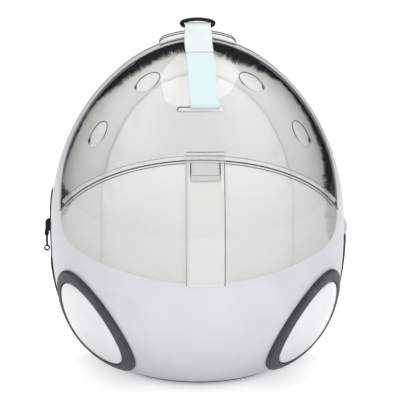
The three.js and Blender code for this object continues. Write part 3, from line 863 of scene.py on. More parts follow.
shell = grid("white_shell", 44, len(shell_rows) - 1, shell_place)
edit(shell, weld)
modify(shell, "MIRROR", use_axis=(True, False, False), use_mirror_merge=True, merge_threshold=3e-6)
edit(shell, weld, face_out)
co = coords(shell)
beside = np.abs(edge_reach(co[:, 2]) - (ZIP_Y - co[:, 1]))
by_window = (co[:, 2] > LIP_SPAN[0]) & (co[:, 2] < LIP_SPAN[1])
thin = np.where(by_window, np.clip(beside / LIP_RUN, 0, 1), 1) * (1 - LIP_SHARE) + LIP_SHARE
lip = shell.vertex_groups.new(name="lip")
for level in np.unique(np.round(thin, 2)):
    lip.add(np.nonzero(np.round(thin, 2) == level)[0].tolist(), float(level), "REPLACE")
modify(shell, "SOLIDIFY", thickness=SHELL_WALL, offset=-1, use_even_offset=False, vertex_group="lip")
shell.vertex_groups.clear()
round_edges(shell, 0.0003, angle=50)
done(shell, shell_white, stands_for=["base_shell"])

# Bump on the right edge where the zip ends
bump_front, bump_back = ZIP_BUMP_SPAN
bump = prism("zip_end_bump", [(x, bump_front, z) for x, z in ZIP_BUMP], (0, bump_back - bump_front, 0))
round_edges(bump, 0.0012, segments=3, angle=20)
done(bump, shell_white)


# Clear panels between two lines of the front view
def panel(name, low, high, columns, rows, ease=1.0, inset=0.002):
    low, high = spaced(low, 240), spaced(high, 240)
    steps = np.linspace(0, 1, 240)

    def place(u, v):
        across = 2 * u - 1
        share = np.abs(across)
        w = inset + (1 - 2 * inset) * (1 - (1 - v) ** ease)
        a = [np.interp(share, steps, low[:, k]) for k in (0, 1)]
        b = [np.interp(share, steps, high[:, k]) for k in (0, 1)]
        return front_egg(np.sign(across) * (a[0] + (b[0] - a[0]) * w), a[1] + (b[1] - a[1]) * w)

    return grid(name, columns, rows, place)


def spot_on(across, reach, height, side=1):
    """Place on the egg: centre, normal, and two directions along the surface, level and rising."""
    turn = math.atan2(across / HALF_WIDTH, reach / DEPTH) * side
    normal = egg_normal(height, turn)
    level = unit(np.cross([0, 0, 1.0], normal))
    return egg(height, turn), normal, level, np.cross(normal, level)


def foot(spot, outline):
    """Where the egg lies under pairs in the spot's tangent plane, and the normals there."""
    centre, normal, level, rise = spot
    flat = centre + outline[:, :1] * level + outline[:, 1:] * rise
    low, high = (np.full(len(flat), end) for end in FOOT_RANGE)
    for _ in range(FOOT_TURNS):
        middle = (low + high) / 2
        p = flat + middle[:, None] * normal
        beyond = np.hypot(p[:, 0] / HALF_WIDTH, (ZIP_Y - p[:, 1]) / DEPTH) > girth(p[:, 2])
        low, high = np.where(beyond, low, middle), np.where(beyond, middle, high)
    p = flat + middle[:, None] * normal
    return p, egg_normal(p[:, 2], np.arctan2(p[:, 0] / HALF_WIDTH, (ZIP_Y - p[:, 1]) / DEPTH))


def pierce(obj, spot, outline):
    """Cuts a hole through the wall, its outline given in the spot's tangent plane."""
    centre, normal, level, rise = spot
    ring = [centre + a * level + b * rise - CUT_DEEP * normal for a, b in outline]
    cut(obj, prism("cutter", ring, 2 * CUT_DEEP * normal))


def slot_ring(grow, count=64):
    """Closed line round the strap slot in its own plane."""
    ends = circle(count)
    return ends * (SLOT_HIGH / 2 + grow) + np.sign(ends[:, :1]) * (SLOT_WIDTH / 2 - SLOT_HIGH / 2, 0)


slot_spot = spot_on(0.0, DEPTH, SLOT_HEIGHT)
vent_spots = [
    (name + "_" + label, side, spot_on(across, reach, height, side))
    for name, across, reach, height in VENTS for label, side in SIDES
]
seam_gap = np.array([0, GAP / 2])
upper = panel("clear_upper_dome", seam + seam_gap, upper_rim, columns=132, rows=64, ease=1.6)
edit(upper, weld, face_out)
thicken(upper, CLEAR_WALL)
for name, side, spot in vent_spots:
    pierce(upper, spot, circle(56) * (VENT_WIDE, VENT_RADIUS))
pierce(upper, slot_spot, slot_ring(0))
done(upper, clear_dome, stands_for=["upper_window"], angle=40)

lower = panel("clear_front_panel", lower_rim, seam - seam_gap, columns=120, rows=44)
edit(lower, weld, face_out)
thicken(lower, CLEAR_WALL)
done(lower, clear_front, stands_for=["lower_window"], angle=40)


# Lips of the vents, drawn as dark lines of painted reflection, thicker at the lower outer end
def turned_from(angle, degrees):
    """Angle away from a direction, the shorter way round."""
    return np.abs((angle - math.radians(degrees) + np.pi) % (2 * np.pi) - np.pi)


for name, side, spot in vent_spots:
    angle = np.linspace(0, 2 * np.pi, 72, endpoint=False)
    p, n = foot(spot, circle(72) * (VENT_WIDE, VENT_RADIUS))
    close_by = turned_from(angle, 215 if side < 0 else 325)
    under = turned_from(angle, 285 if side < 0 else 255)
    size = 0.00010 + 0.00042 * np.clip((under - 0.7) / 0.5, 0, 1)
    size = size + 0.0011 * np.exp(-((close_by / 0.20) ** 2))
    painted_dark_line("vent_lip_" + name, p + n * 0.0001, size, closed=True, sides=8)

# Lip of the strap slot, and inside it a dark line of painted shade, thicker on the left
p, n = foot(slot_spot, slot_ring(0.0006, 80))
done(tube("slot_lip", p + n * 0.0002, 0.0006, closed=True, sides=8), clear_trim)
slot_inside = slot_ring(-0.0004, 80)
p, n = foot(slot_spot, slot_inside)
slot_shade_size = 0.00012 + 0.00055 * np.clip((0.004 - slot_inside[:, 0]) / 0.008, 0, 1)
painted_dark_line("slot_shade_edge", p - n * CLEAR_WALL * 0.5, slot_shade_size, closed=True)


# Bead over the seam, with dark edge lines of painted reflection
def along_seam(lift, count=161, short=0.0):
    """Line beside the seam, stopping short of the window's corners."""
    steps = run(seam)
    half = spaced(seam[steps <= steps[-1] - short], count // 2 + 1)
    line = np.concatenate([half[::-1] * (-1, 1), half[1:]])
    tangent = unit(np.gradient(line, axis=0))
    return line + np.stack([-tangent[:, 1], tangent[:, 0]], -1) * lift


def seam_strip(name, low, high, out_low, out_high, columns=160):
    """Rounded strip along the seam between two lifts above it."""
    ends = [along_seam(low, columns + 1, SEAM_SHORT), along_seam(high, columns + 1, SEAM_SHORT)]
    angle = np.linspace(0, np.pi, STRIP_STEPS + 1)

    def place(u, v):
        i, k = nth(u, columns), nth(v, STRIP_STEPS)
        share = (1 - np.cos(angle[k])) / 2
        flat = ends[0][i] + (ends[1][i] - ends[0][i]) * share[:, None]
        return front_egg(flat[:, 0], flat[:, 1], out_low + (out_high - out_low) * np.sin(angle[k]))

    return grid(name, columns, STRIP_STEPS, place)


bead = seam_strip("seam_bead", low=0.0006, high=BEAD_WIDTH, out_low=0.0001, out_high=BEAD_PROUD)
thicken(bead, 0.0006)
edit(bead, face_out)
done(bead, clear_trim)
for label, lift, size, short in (
    ("low", 0.0002, 0.0007, 0.001),
    ("high", BEAD_WIDTH - 0.0004, 0.0003, SEAM_SHORT),
    ("under", -0.0023, 0.0004, SEAM_SHORT),
):
    line = along_seam(lift, short=short)
    painted_dark_line("seam_edge_" + label, front_egg(line[:, 0], line[:, 1], 0.0004), size, sides=8)


# Raised rail down the middle of the front panel, with dark edge lines of painted reflection
rail_low = lower_rim[0, 1] - RAIL_BELOW
rail_high = seam[0, 1] - RAIL_SHORT


def rail_place(u, v):
    k = nth(u, RAIL_STEPS)
    shares = np.concatenate([[-1.0], np.linspace(-0.97, 0.97, RAIL_STEPS - 1), [1.0]])
    x = shares[k] * RAIL_HALF + RAIL_ACROSS
    out = np.where((k == 0) | (k == RAIL_STEPS), 0.0002, RAIL_PROUD)
    return front_egg(x, rail_low + (rail_high - rail_low) * v, out)


rail = grid("front_rail", RAIL_STEPS, 60, rail_place)
thicken(rail, 0.0008)
edit(rail, face_out)
done(rail, clear_front)
for label, x, size in (("left", -1.0, 0.00018), ("left_inner", -0.91, 0.0001), ("right", 1.0, 0.00034)):
    z = np.linspace(rail_low, rail_high, 60)
    out = RAIL_PROUD if label == "left_inner" else RAIL_PROUD * 0.5
    painted_dark_line("rail_edge_" + label, front_egg(RAIL_ACROSS + x * RAIL_HALF, z, out), size)

# Clear latch plate with its tongue
latch_x = np.array([-LATCH_PLATE, -0.0185, -0.0165, -LATCH_TONGUE, -0.0096, -0.0048, 0.0])
latch_x = np.concatenate([latch_x, -latch_x[:-1][::-1]])
latch_z = np.concatenate([
    np.linspace(LATCH_LEVELS[0], LATCH_LEVELS[1], 9),
    np.linspace(LATCH_LEVELS[1], LATCH_LEVELS[2], 5)[1:],
])
latch_face = RAIL_PROUD + GAP + LATCH_THICK


def latch_place(u, v):
    i, k = nth(u, len(latch_x) - 1), nth(v, len(latch_z) - 1)
    return front_egg(RAIL_ACROSS + latch_x[i], latch_z[k], latch_face)


latch = grid("clear_latch", len(latch_x) - 1, len(latch_z) - 1, latch_place)
edit(
    latch,
    lambda: bpy.ops.mesh.select_mode(type="FACE"),
    lambda: bpy.ops.mesh.select_all(action="DESELECT"),
)
for polygon in latch.data.polygons:
    middle = np.mean([latch.data.vertices[v].co for v in polygon.vertices], axis=0)
    beside_tongue = abs(middle[0] - RAIL_ACROSS) > LATCH_TONGUE
    polygon.select = bool(beside_tongue and middle[2] < LATCH_LEVELS[1] - 0.0002)
bpy.ops.object.mode_set(mode="EDIT")
bpy.ops.mesh.delete(type="FACE")
bpy.ops.object.mode_set(mode="OBJECT")
edit(latch, face_out)
thicken(latch, LATCH_THICK)
round_edges(latch, 0.0004, angle=40)
done(latch, clear_plate, stands_for=["latch_tab"])
# Dark lines of painted reflection along the latch's edges and grooves; the side lines thicken upward
for label, side in SIDES:
    z = np.linspace(LATCH_LEVELS[0] + 0.001, LATCH_LEVELS[1] - 0.001, 30)
    x = RAIL_ACROSS + side * (LATCH_TONGUE + 0.0002)
    size = 0.00018 + 0.0005 * np.clip((z - 0.2385) / 0.006, 0, 1)
    painted_dark_line("latch_edge_" + label, front_egg(x, z, latch_face * 0.8), size)
for name, level, size, half, count in (
    ("latch_top_0", LATCH_LEVELS[2], 0.0004, LATCH_PLATE * 0.94, 30),
    ("latch_top_1", LATCH_STEP, 0.0003, LATCH_PLATE * 0.94, 30),
    ("latch_line_0", LATCH_GROOVES[0], 0.0002, LATCH_TONGUE * 0.9, 24),
    ("latch_line_1", LATCH_GROOVES[1], 0.0002, LATCH_TONGUE * 0.9, 24),
):
    x = np.linspace(-half, half, count)
    painted_dark_line(name, front_egg(RAIL_ACROSS + x, level, latch_face), size)


# Clear cover over the top of the rim
def cover_top(x):
    """Height of the cover above the egg."""
    return np.interp(np.abs(x), *np.transpose(COVER_CREST))


cover_end = np.linspace(-COVER_END, -0.034, 12)
cover_x = np.concatenate([cover_end, np.linspace(-0.032, 0.032, 36), -cover_end[::-1]])
cover_section = np.array([
    (0, 0), (0, 0.82), (0.06, 0.95), (0.14, 1), (0.38, 1.0), (0.62, 1.0),
    (0.86, 1), (0.94, 0.95), (1, 0.82), (1, 0), (0.62, 0), (0.38, 0),
])


def cover_place(u, v):
    x = cover_x[nth(u, len(cover_x) - 1)]
    forward, rise = cover_section[nth(v, len(cover_section)) % len(cover_section)].T
    reach = COVER_REACH[0] + (COVER_REACH[1] - COVER_REACH[0]) * forward
    return top_egg(x, reach, GAP + (cover_top(x) - GAP) * rise)


cover = grid("clear_top_cover", len(cover_x) - 1, len(cover_section), cover_place)
edit(cover, weld, close, face_out)
round_edges(cover, 0.0005, angle=50)
done(cover, clear_trim, stands_for=["top_cover"])
# Dark lines of painted reflection along the cover's folds and top
for label, reach, share, size in (
    ("front_low", COVER_REACH[1], 0.08, 0.0006),
    ("front_high", COVER_REACH[1] - 0.001, 0.97, 0.0005),
    ("top", 0.008, 1.0, 0.00045),
):
    out = GAP + (cover_top(cover_x) - GAP) * share
    painted_dark_line("cover_edge_" + label, top_egg(cover_x, reach, out), size)

# Fine dark line of painted reflection along the top of the rim beside the cover, thinning towards the sides
for label, side in SIDES:
    x = np.linspace(*RIM_LINE_SPAN, 50)
    size = 0.0008 - 0.0006 * np.clip((x - 0.060) / 0.030, 0, 1)
    painted_dark_line("rim_line_" + label, top_egg(side * x, RIM_LINE_REACH, 0.0001), size)

# Dark rings and white caps on the lower sides
ring_profile = np.array([
    (RING_INNER, GAP), (RING_INNER, RING_PROUD - 0.0008), (RING_INNER + 0.0003, RING_PROUD - 0.0002),
    (RING_INNER + 0.0010, RING_PROUD), (RING_OUTER - 0.0030, RING_PROUD),
    (RING_OUTER - 0.0013, RING_PROUD - 0.0005), (RING_OUTER - 0.0003, RING_PROUD - 0.0018),
    (RING_OUTER, RING_PROUD - 0.0032), (RING_OUTER, GAP), (RING_OUTER * 0.5 + RING_INNER * 0.5, GAP),
])
cap_profile = np.array([
    (0.0, CAP_PROUD + 0.0003), (0.012, CAP_PROUD + 0.0003), (0.026, CAP_PROUD + 0.0002),
    (0.040, CAP_PROUD),
    (CAP_RADIUS - 0.0016, CAP_PROUD - 0.0001), (CAP_RADIUS - 0.0006, CAP_PROUD - 0.0004),
    (CAP_RADIUS - 0.0001, CAP_PROUD - 0.0010), (CAP_RADIUS, CAP_PROUD - 0.0018), (CAP_RADIUS, GAP),
    (0.030, GAP), (0.0, GAP),
])


def round_piece(name, profile, closed, spot, side):
    """Round piece on the shell, its section given as radius and height."""
    spans = len(profile) if closed else len(profile) - 1

    def place(u, v):
        angle = u * 2 * np.pi
        r, out = profile[nth(v, spans) % len(profile)].T
        a, b = r * np.cos(angle), r * np.sin(angle)
        p, n = foot(spot, np.stack([RING_WIDE * a + side * RING_LEAN * b, b], -1))
        return p + n * out[:, None]

    obj = grid(name, RING_AROUND, spans, place)
    edit(obj, weld, face_out)
    return obj


for label, side in SIDES:
    spot = spot_on(RING_ACROSS, RING_REACH, RING_HEIGHT, side)
    ring = round_piece("side_ring_dark_" + label, ring_profile, True, spot, side)
    done(ring, ring_grey, stands_for=["side_ring_" + label])
    cap = round_piece("side_cap_white_" + label, cap_profile, False, spot, side)
    done(cap, cap_white, stands_for=["side_cap_" + label])


# Outlines in the zip plane
def zip_outline(inset, floor, steps, count):
    """Closed outline moved in by a distance, or by one that varies with height and side."""
    share = np.linspace(0, 1, steps + 1)
    z = floor + (HEIGHT - floor) * (1 - np.cos(share * np.pi)) / 2
    n = egg_normal(np.minimum(z, HEIGHT - 1e-5), np.pi / 2)
    halves = []
    for side in (1, -1):
        d = np.array([inset(h, side) for h in z]) if callable(inset) else inset
        x = HALF_WIDTH * girth(z) - n[:, 0] * d
        halves.append(np.stack([side * x, np.maximum(floor, z - n[:, 2] * d)], -1))
    return spaced(np.concatenate([halves[0], halves[1][:-1][::-1]]), count, closed=True)


def eased(a, b, t):
    """Value between two, with a soft start and end."""
    t = min(1.0, max(0.0, t))
    return a + (b - a) * t * t * (3 - 2 * t)


def tape_inset(z, side):
    """How far the tape lies inside the outline; below 0 it stands out."""
    end, proud = (TAPE_END_RIGHT, TAPE_PROUD_RIGHT) if side > 0 else (TAPE_END_LEFT, TAPE_PROUD)
    if side < 0 and z < TAPE_STEP:
        proud = eased(TAPE_PROUD_LOW, TAPE_PROUD, 1 - (TAPE_STEP - z) / TAPE_STEP_RUN)
    low, high = TAPE_FOOT
    if z < high:
        return eased(TAPE_FOOT_SUNK, -proud, (z - low) / (high - low))
    return eased(-proud, TAPE_SUNK, (z - end) / TAPE_END_RUN)


def black_reach(z, side):
    """How far the black edge reaches in from the outline."""
    z = z * 1000
    for low, high in zip(BLACK_REACH, BLACK_REACH[1:]):
        if z <= high[0]:
            k = 2 if side > 0 else 1
            return eased(low[k], high[k], (z - low[0]) / (high[0] - low[0])) * 0.001
    return BLACK_TOP


def closed_frames(line, y):
    """Path in the zip plane with its outward and backward directions."""
    tangent = unit(np.roll(line, -1, 0) - np.roll(line, 1, 0))
    path = np.stack([line[:, 0], np.full(len(line), y), line[:, 1]], -1)
    out = np.stack([tangent[:, 1], np.zeros(len(line)), -tangent[:, 0]], -1)
    return path, out, np.tile([0.0, 1.0, 0.0], (len(line), 1))


# Zip tape with its teeth
tape_line = zip_outline(tape_inset, TAPE_FLOOR, steps=160, count=420)
tape_middle = (TAPE_FRONT + TAPE_BACK) / 2
tape_half = (TAPE_BACK - TAPE_FRONT) / 2
tape_section = [
    (0, -tape_half + 0.0006), (0, -0.0026), (-0.0005, -0.0022), (-0.0005, 0.0022), (0, 0.0026),
    (0, tape_half - 0.0006), (-0.0006, tape_half), (-0.0012, tape_half + 0.0020),
    (-0.0066, tape_half + 0.0020), (-0.0066, tape_half + 0.0007), (-0.0045, tape_half),
    (-0.0045, -tape_half), (-0.0006, -tape_half),
]
tape = sweep("zip_tape_cloth", *closed_frames(tape_line, tape_middle), tape_section, closed=True)
done(tape, zip_cloth, stands_for=["zip_tape"])
teeth_line = zip_outline(tape_inset, TAPE_FLOOR, steps=160, count=430)
tooth = block("zip_tooth", TOOTH_SIZE, 0.0003)
teeth_places = []
for k, (at, out, behind) in enumerate(zip(*closed_frames(teeth_line, tape_middle))):
    shift = TOOTH_SHIFT if k % 2 else -TOOTH_SHIFT
    if at[2] > TAPE_FLOOR + TOOTH_CLEAR:
        axes = (out, behind, np.cross(out, behind))
        teeth_places.append((at - out * 0.0004 + behind * shift, axes))
teeth = copies("zip_teeth", tooth, teeth_places)
done(teeth, tooth_black)

# Grey lining on the inner walls beside the window, with painted shade that darkens it towards the back
wall_rows = np.linspace(*WALL_SPAN, WALL_STEPS + 1)
wall_first = np.arccos(np.clip(edge_reach(wall_rows) / (DEPTH * girth(wall_rows)), 0, 1)) + WALL_BEGIN
for label, side in SIDES:

    def wall_place(u, v, side=side):
        k = nth(v, WALL_STEPS)
        turn = wall_first[k] + (np.pi / 2 - WALL_STOP - wall_first[k]) * u
        return egg(wall_rows[k], side * turn, -SHELL_WALL - WALL_THICK)

    wall = grid("side_shade_lining_" + label, 12, WALL_STEPS, wall_place)
    edit(wall, face_out)
    thicken(wall, WALL_THICK)
    done(wall, wall_painted_shade)

# Black lining inside the rim, with an uneven inner edge
fringe_line = zip_outline(FRINGE_INSET, floor=0.006, steps=220, count=520)
wander = np.random.default_rng(7)
slow = wander.normal(0, 1, 40)
round_share = np.arange(len(fringe_line)) / len(fringe_line)
slow = np.interp(round_share * len(slow), np.arange(len(slow) + 1), np.append(slow, slow[0]))
deep = np.array([black_reach(z, 1 if x > 0 else -1) for x, z in fringe_line]) - FRINGE_INSET
deep = np.maximum(deep * FRINGE_SPREAD + FRINGE_WANDER * slow, FRINGE_LEAST)
fringe_shares = (0, 0.7, 1, 1, 0.7, 0)
fringe_levels = (0, 0, 0.0001, 0.0003, 0.0005, 0.0005)
fringe_section = np.zeros((len(fringe_line), len(fringe_shares), 2))
for k, (share, y) in enumerate(zip(fringe_shares, fringe_levels)):
    fringe_section[:, k, 0] = -deep * share
    fringe_section[:, k, 1] = y
fringe = sweep(
    "rim_lining_black", *closed_frames(fringe_line, FRINGE_Y), fringe_section,
    closed=True, marks=fringe_shares,
)
done(fringe, black_lining)


# Padded pieces of the back
def slab(name, outline, front, back, round_off):
    body = prism(name, [(x, front, z) for x, z in outline], (0, back - front, 0))
    round_edges(body, round_off, segments=3, angle=60)
    return body


def line_gap(values, centre, width):
    return np.clip(1.4 - np.abs(values - centre) / width, 0, 1)


def back_sewn(p):
    """Sewn channels of the back panel and its flat front."""
    inner = (np.abs(p[:, 0]) < 0.101) & (p[:, 2] > 0.06) & (p[:, 2] < 0.33)
    hold = np.zeros(len(p))
    for x in BACK_UPRIGHTS:
        hold = np.maximum(hold, line_gap(p[:, 0], x, 0.004) * inner)
    for z in BACK_LEVELS:
        hold = np.maximum(hold, line_gap(p[:, 2], z, 0.004) * inner)
    return np.maximum(hold * (p[:, 1] > 0.078), p[:, 1] < 0.0745)


back_line = zip_outline(inset=0.006, floor=0.007, steps=90, count=150)
back = slab("back_cushion", back_line, *BACK_SLAB, round_off=0.005)
stuffed(back, voxel=0.0052, press=5.0, cap=0.0072, held=back_sewn)
done(back, back_mesh, stands_for=["back_panel"], angle=80)
piping_line = zip_outline(inset=0.0042, floor=0.0072, steps=120, count=300)
piping_section = PIPING_RADIUS * circle(10)
piping = sweep("back_piping", *closed_frames(piping_line, PIPING_Y), piping_section, closed=True)
done(piping, binding_cloth)

lining_line = zip_outline(LINING_INSET, floor=0.014, steps=90, count=150)
lining = slab("pale_lining", lining_line, *LINING_SLAB, SLAB_ROUND)
stuffed(lining, voxel=0.005, press=3.0, cap=0.0014, held=lambda p: (p[:, 1] > LINING_SEWN) * 1.0)
done(lining, pale_cloth, stands_for=["inner_lining"], angle=80)

arch_turn = np.linspace(0, np.pi, 41)
arch_line = [
    (ARCH_HALF - 0.014, ARCH_FOOT), (ARCH_HALF - 0.004, ARCH_FOOT + 0.004), (ARCH_HALF, ARCH_FOOT + 0.014),
]
arch_line += [
    (ARCH_HALF * math.cos(t), ARCH_SHOULDER + (ARCH_TOP - ARCH_SHOULDER) * math.sin(t)) for t in arch_turn
]
arch_line += [(-x, z) for x, z in arch_line[:3]][::-1]
arch_middle = np.array([0, ARCH_SHOULDER])
arch_line = (np.array(arch_line) - arch_middle) * ARCH_SHRINK + arch_middle
arch = slab("arch_pad", spaced(arch_line, 140, closed=True), *ARCH_SLAB, SLAB_ROUND)
stuffed(arch, voxel=0.0045, press=4.0, cap=0.0026, held=lambda p: (p[:, 1] > ARCH_SEWN) * 1.0)
done(arch, pad_cloth, stands_for=["inner_pad"], angle=80)


# Handle strap: up behind the dome's wall, out through the slot, over the top and down the back
def meridian(z, out, along=0.0):
    p, n = egg(z, 0.0, out), egg_normal(z, 0.0)
    return [ZIP_Y - p[1] + n[2] * along, p[2] + n[1] * along]


strap_out = GAP + STRAP_THICK / 2 + 0.0007
strap_in = -CLEAR_WALL - strap_out
turn_radius = (strap_out - strap_in) / 2
slot_normal = slot_spot[1]
slot_top = SLOT_HEIGHT - SLOT_HIGH / 2 * slot_normal[1]
strap_points = [meridian(z, strap_in) for z in (0.342, 0.334, 0.326, 0.3185)]
for k in range(7):
    t = k / 6 * math.pi
    strap_points.append(
        meridian(slot_top, -CLEAR_WALL / 2 - turn_radius * math.cos(t), turn_radius * math.sin(t))
    )
sleeve_from = len(strap_points) + 5
strap_points += [meridian(z, strap_out) for z in (0.3185, 0.326, 0.334, 0.342, 0.350, 0.359, 0.366)]
back_face = -(BACK_END + GAP + STRAP_THICK / 2 - ZIP_Y)
strap_points += [
    (0.053, 0.3715), (0.042, 0.378), (0.030, 0.3859), (0.014, 0.3897), (0.0, 0.3889), (-0.014, 0.384),
    (-0.025, 0.379), (back_face + 0.0015, 0.373), (back_face - 0.0002, 0.364), (back_face, 0.352),
    (back_face, 0.336),
]


def ribbon(name, points, width, thick, count, across=10, shift=0.0):
    """Flat strip across the carrier along a side-view line."""
    line = smooth_line(points, count, scale=1.0)
    t = unit(np.gradient(line, axis=0))
    path = np.stack([np.full(len(line), shift), ZIP_Y - line[:, 0], line[:, 1]], -1)
    side = np.tile([1.0, 0, 0], (len(line), 1))
    up = np.stack([np.zeros(len(line)), -t[:, 1], -t[:, 0]], -1)
    return sweep(name, path, side, up, band(width, thick, across))


def drape(obj):
    """Leans the strap near the slot, bends it round the dome and narrows it in the ring."""
    co = coords(obj)
    front = co[:, 1] <= ZIP_Y - STRAP_FRONT
    co[:, 0] *= 1 - RING_SQUEEZE * np.interp(co[:, 2], SQUEEZE_SPAN, (0, 1))
    x = co[:, 0] + front * STRAP_SWAY * np.interp(co[:, 2], SWAY_SPAN, (1, 0))
    share = front * np.interp(co[:, 2], WRAP_SPAN, (1, 0))
    wide = HALF_WIDTH * girth(np.minimum(co[:, 2], WRAP_TOP))
    co[:, 1] += (ZIP_Y - co[:, 1]) * (1 - np.sqrt(np.maximum(1 - (x / wide) ** 2, 0))) * share
    co[:, 0] = x
    set_coords(obj, co)


strap = ribbon("handle_webbing", strap_points, STRAP_WIDTH, STRAP_THICK, count=150)
drape(strap)
done(strap, cyan_web, stands_for=["handle_strap"])
lift = (STRAP_THICK + SLEEVE_THICK) / 2 + 0.0001
sleeve_points = []
for k in range(sleeve_from, len(strap_points) - 5):
    before, after = np.array(strap_points[k - 1]), np.array(strap_points[k + 1])
    along = unit(after - before)
    sleeve_points.append((strap_points[k][0] + along[1] * lift, strap_points[k][1] - along[0] * lift))
sleeve = ribbon("handle_sleeve_white", sleeve_points, SLEEVE_WIDTH, SLEEVE_THICK, count=70)
drape(sleeve)
done(sleeve, sleeve_white, stands_for=["handle_sleeve"])

# Box of stitches that holds the strap's end on the back
stitch = block("strap_stitch", STITCH_SIZE, 0.0002)
half, low, high = STITCH_BOX
box = np.array([
    (-half, low), (half, low), (half, high), (-half, high),
    (-half, low), (half, high), (-half, high), (half, low),
])
stitch_places = []
for a, b in zip(box, box[1:]):
    length = np.linalg.norm(b - a)
    step = (b - a) / length
    along, outward = np.array([step[0], 0, step[1]]), np.array([0, 1.0, 0])
    for d in np.arange(0.0014, length - 0.001, STITCH_STEP):
        at = a + step * d
        spot = (at[0], BACK_END + GAP + STRAP_THICK, at[1])
        stitch_places.append((spot, (along, outward, np.cross(along, outward))))
stitches = copies("strap_stitches", stitch, stitch_places)
done(stitches, sleeve_white)

# Black oval ring standing on the cover
across, upward = circle(96).T
oval = np.stack([
    TOP_RING["half_width"] * across,
    np.full_like(across, ZIP_Y - TOP_RING["reach"]),
    TOP_RING["height"] + TOP_RING["half_height"] * upward,
], -1)
top_ring = tube("strap_ring_black", spaced(oval, 96, closed=True), TOP_RING["rod"], closed=True, sides=16)
done(top_ring, black_gloss, stands_for=["top_ring"])

# Shoulder straps behind the back
back_plane = -(BACK_END + GAP - ZIP_Y)
pad_points = [
    (back_plane - SHOULDER_THICK / 2 - 0.0001, 0.342), (back_plane - SHOULDER_THICK / 2 - 0.0009, 0.328),
    (back_plane - SHOULDER_THICK / 2 - 0.0035, 0.314), (back_plane - 0.017, 0.294),
    (back_plane - 0.033, 0.262), (back_plane - 0.040, 0.222), (back_plane - 0.038, 0.182),
    (back_plane - 0.030, 0.148),
]
pad_line = smooth_line(pad_points, 24, scale=1.0)
pad_t = unit(np.gradient(pad_line, axis=0))
under = -(SHOULDER_THICK + WEB_THICK) / 2 - GAP
web_top = pad_line + np.stack([pad_t[:, 1], -pad_t[:, 0]], -1) * under
web_points = [tuple(p) for p in web_top[-4:]] + [
    (back_plane - 0.0176, 0.116), (back_plane - 0.009, 0.084), (back_plane - 0.0034, 0.062),
    (back_plane - WEB_THICK / 2 - 0.0005, 0.047), (back_plane - WEB_THICK / 2 - 0.0001, 0.034),
]
pad_half = SHOULDER_WIDTH / 2 - 0.002


def end_share(z):
    """Share of a shoulder pad's width at a height: its corners are rounded."""
    d = np.clip(np.minimum(z - pad_points[-1][1], pad_points[0][1] - z), 0, PAD_CORNER)
    return (pad_half - PAD_CORNER + np.sqrt(PAD_CORNER**2 - (PAD_CORNER - d) ** 2)) / pad_half


for label, side in SIDES:
    across = side * SHOULDER_ACROSS
    pad_thick = SHOULDER_THICK - 0.003
    pad = ribbon("shoulder_cushion_" + label, pad_points, pad_half * 2, pad_thick, 90, 14, shift=across)
    co = coords(pad)
    co[:, 0] = across + (co[:, 0] - across) * end_share(co[:, 2])
    set_coords(pad, co)

    def pad_sewn(p, across=across):
        edges = (np.abs(p[:, 0] - across) > SHOULDER_WIDTH / 2 - 0.0075) * 1.0
        return np.maximum(edges, line_gap(p[:, 0], across, 0.002))

    stuffed(pad, voxel=0.0042, press=4.0, cap=0.0018, held=pad_sewn)
    done(pad, back_mesh, stands_for=["shoulder_pad_" + label], angle=80)
    pad_edge = smooth_line(pad_points, 120, scale=1.0)
    pad_x = pad_half * end_share(pad_edge[:, 1])
    pad_path = np.stack([across + pad_x, ZIP_Y - pad_edge[:, 0], pad_edge[:, 1]], -1)
    pad_path = np.concatenate([pad_path, (pad_path * (-1, 1, 1) + (2 * across, 0, 0))[::-1]])
    pad_path = spaced(pad_path, 220, closed=True)
    binding = tube("shoulder_binding_" + label, pad_path, 0.0013, closed=True, sides=8)
    done(binding, binding_cloth)
    web = ribbon("strap_webbing_" + label, web_points, WEB_WIDTH, WEB_THICK, 70, 8, shift=across)
    done(web, dark_web, stands_for=["strap_web_" + label])

# Studio: pale floor, soft box overhead and white surroundings
floor = begin("studio_floor", bpy.ops.mesh.primitive_plane_add, size=60)
paper, paper_tree, paper_shader = new_finish("studio_paper")
paper_path = put(paper_tree, "ShaderNodeLightPath").outputs["Is Camera Ray"]
paper_seen = sums(paper_tree, "MULTIPLY", paper_path, PAPER_GLOW_SEEN)
feed(paper_tree, paper_shader, {
    "Base Color": (PAPER_TONE, PAPER_TONE, PAPER_TONE, 1),
    "Roughness": 0.9,
    "Emission Color": (1, 1, 1, 1),
    "Emission Strength": sums(paper_tree, "ADD", PAPER_GLOW, paper_seen),
})
floor.data.materials.append(paper)
soft_box = begin(
    "studio_soft_box", bpy.ops.mesh.primitive_circle_add,
    vertices=8, radius=1.0, fill_type="NGON", rotation=(0, 0, math.pi / 8),
)
soft_box.scale = SOFT_BOX_SIZE
bpy.ops.object.transform_apply(location=False, rotation=True, scale=True)
toward = Vector(SOFT_BOX_TOWARD)
soft_box.rotation_euler = toward.to_track_quat("Z", "Y").to_euler()
soft_box.location = Vector((0, 0, 0.34)) - toward * SOFT_BOX_FAR
bpy.ops.object.transform_apply(location=True, rotation=True, scale=True)
glow = bpy.data.materials.new("soft_box_glow")
glow.use_nodes = True
glow.node_tree.nodes.clear()
lamp = put(glow.node_tree, "ShaderNodeEmission", {"Strength": SOFT_BOX_POWER})
out = glow.node_tree.nodes.new("ShaderNodeOutputMaterial")
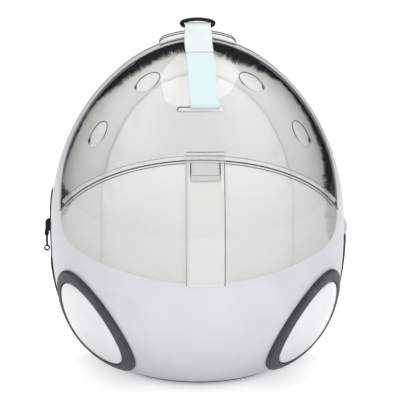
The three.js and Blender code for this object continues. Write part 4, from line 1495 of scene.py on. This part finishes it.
glow.node_tree.links.new(lamp.outputs[0], out.inputs["Surface"])
soft_box.data.materials.append(glow)
fill = begin("studio_front_fill", bpy.ops.object.light_add, type="AREA", location=FILL_PLACE)
fill.data.shape = "DISK"
fill.data.size = FILL_SIZE
fill.data.energy = FILL_POWER
fill.rotation_euler = (Vector((0, 0, 0.2)) - fill.location).to_track_quat("-Z", "Y").to_euler()
fill.visible_glossy = False
world = bpy.data.worlds.new("studio")
scene.world = world
world.use_nodes = True
world.node_tree.nodes.clear()
air = world.node_tree
path = put(air, "ShaderNodeLightPath")
strength = sums(air, "ADD", SKY, sums(air, "MULTIPLY", path.outputs["Is Camera Ray"], SKY_SEEN))
mirrored = sums(air, "MULTIPLY", path.outputs["Is Glossy Ray"], SKY_MIRRORED)
strength = sums(air, "SUBTRACT", strength, mirrored)
sky = put(air, "ShaderNodeBackground", {"Color": (1, 1, 1, 1), "Strength": strength})
out = air.nodes.new("ShaderNodeOutputWorld")
air.links.new(sky.outputs[0], out.inputs["Surface"])
scene.view_settings.view_transform = "Standard"
scene.view_settings.look = "None"

# Small hard pieces: the frame's shapes with softened edges
for node, name, finish, slot, body, width in (
    ("zip_slider", "slider_body", black_enamel, "black_metal", "carrier", 0.0005),
    ("zip_pull", "pull_tab", black_enamel, "black_metal", "puller", 0.0003),
    ("strap_buckle_left", "strap_slide_left", buckle_black, "buckle_black", "carrier", 0.0007),
    ("strap_buckle_right", "strap_slide_right", buckle_black, "buckle_black", "carrier", 0.0007),
    ("base_pad", "foot_pad", foot_rubber, "dark_rubber", "carrier", 0.0003),
):
    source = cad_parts[node]
    soft = bpy.data.objects.new(name, source.data.copy())
    soft.data.name = name
    soft.data.transform(source.matrix_world)
    scene.collection.objects.link(soft)
    edit(soft, weld, lambda: bpy.ops.mesh.dissolve_limited(angle_limit=math.radians(3)), face_out)
    # The pad is widened so that its dark rim shows round the base as painted contact shadow
    if node == "base_pad":
        edit(soft, lambda: bpy.ops.transform.resize(value=FOOT_SHADOW_SPREAD, center_override=(0, ZIP_Y, 0)))
    round_edges(soft, width, angle=28)
    done(soft, finish, body, [node])
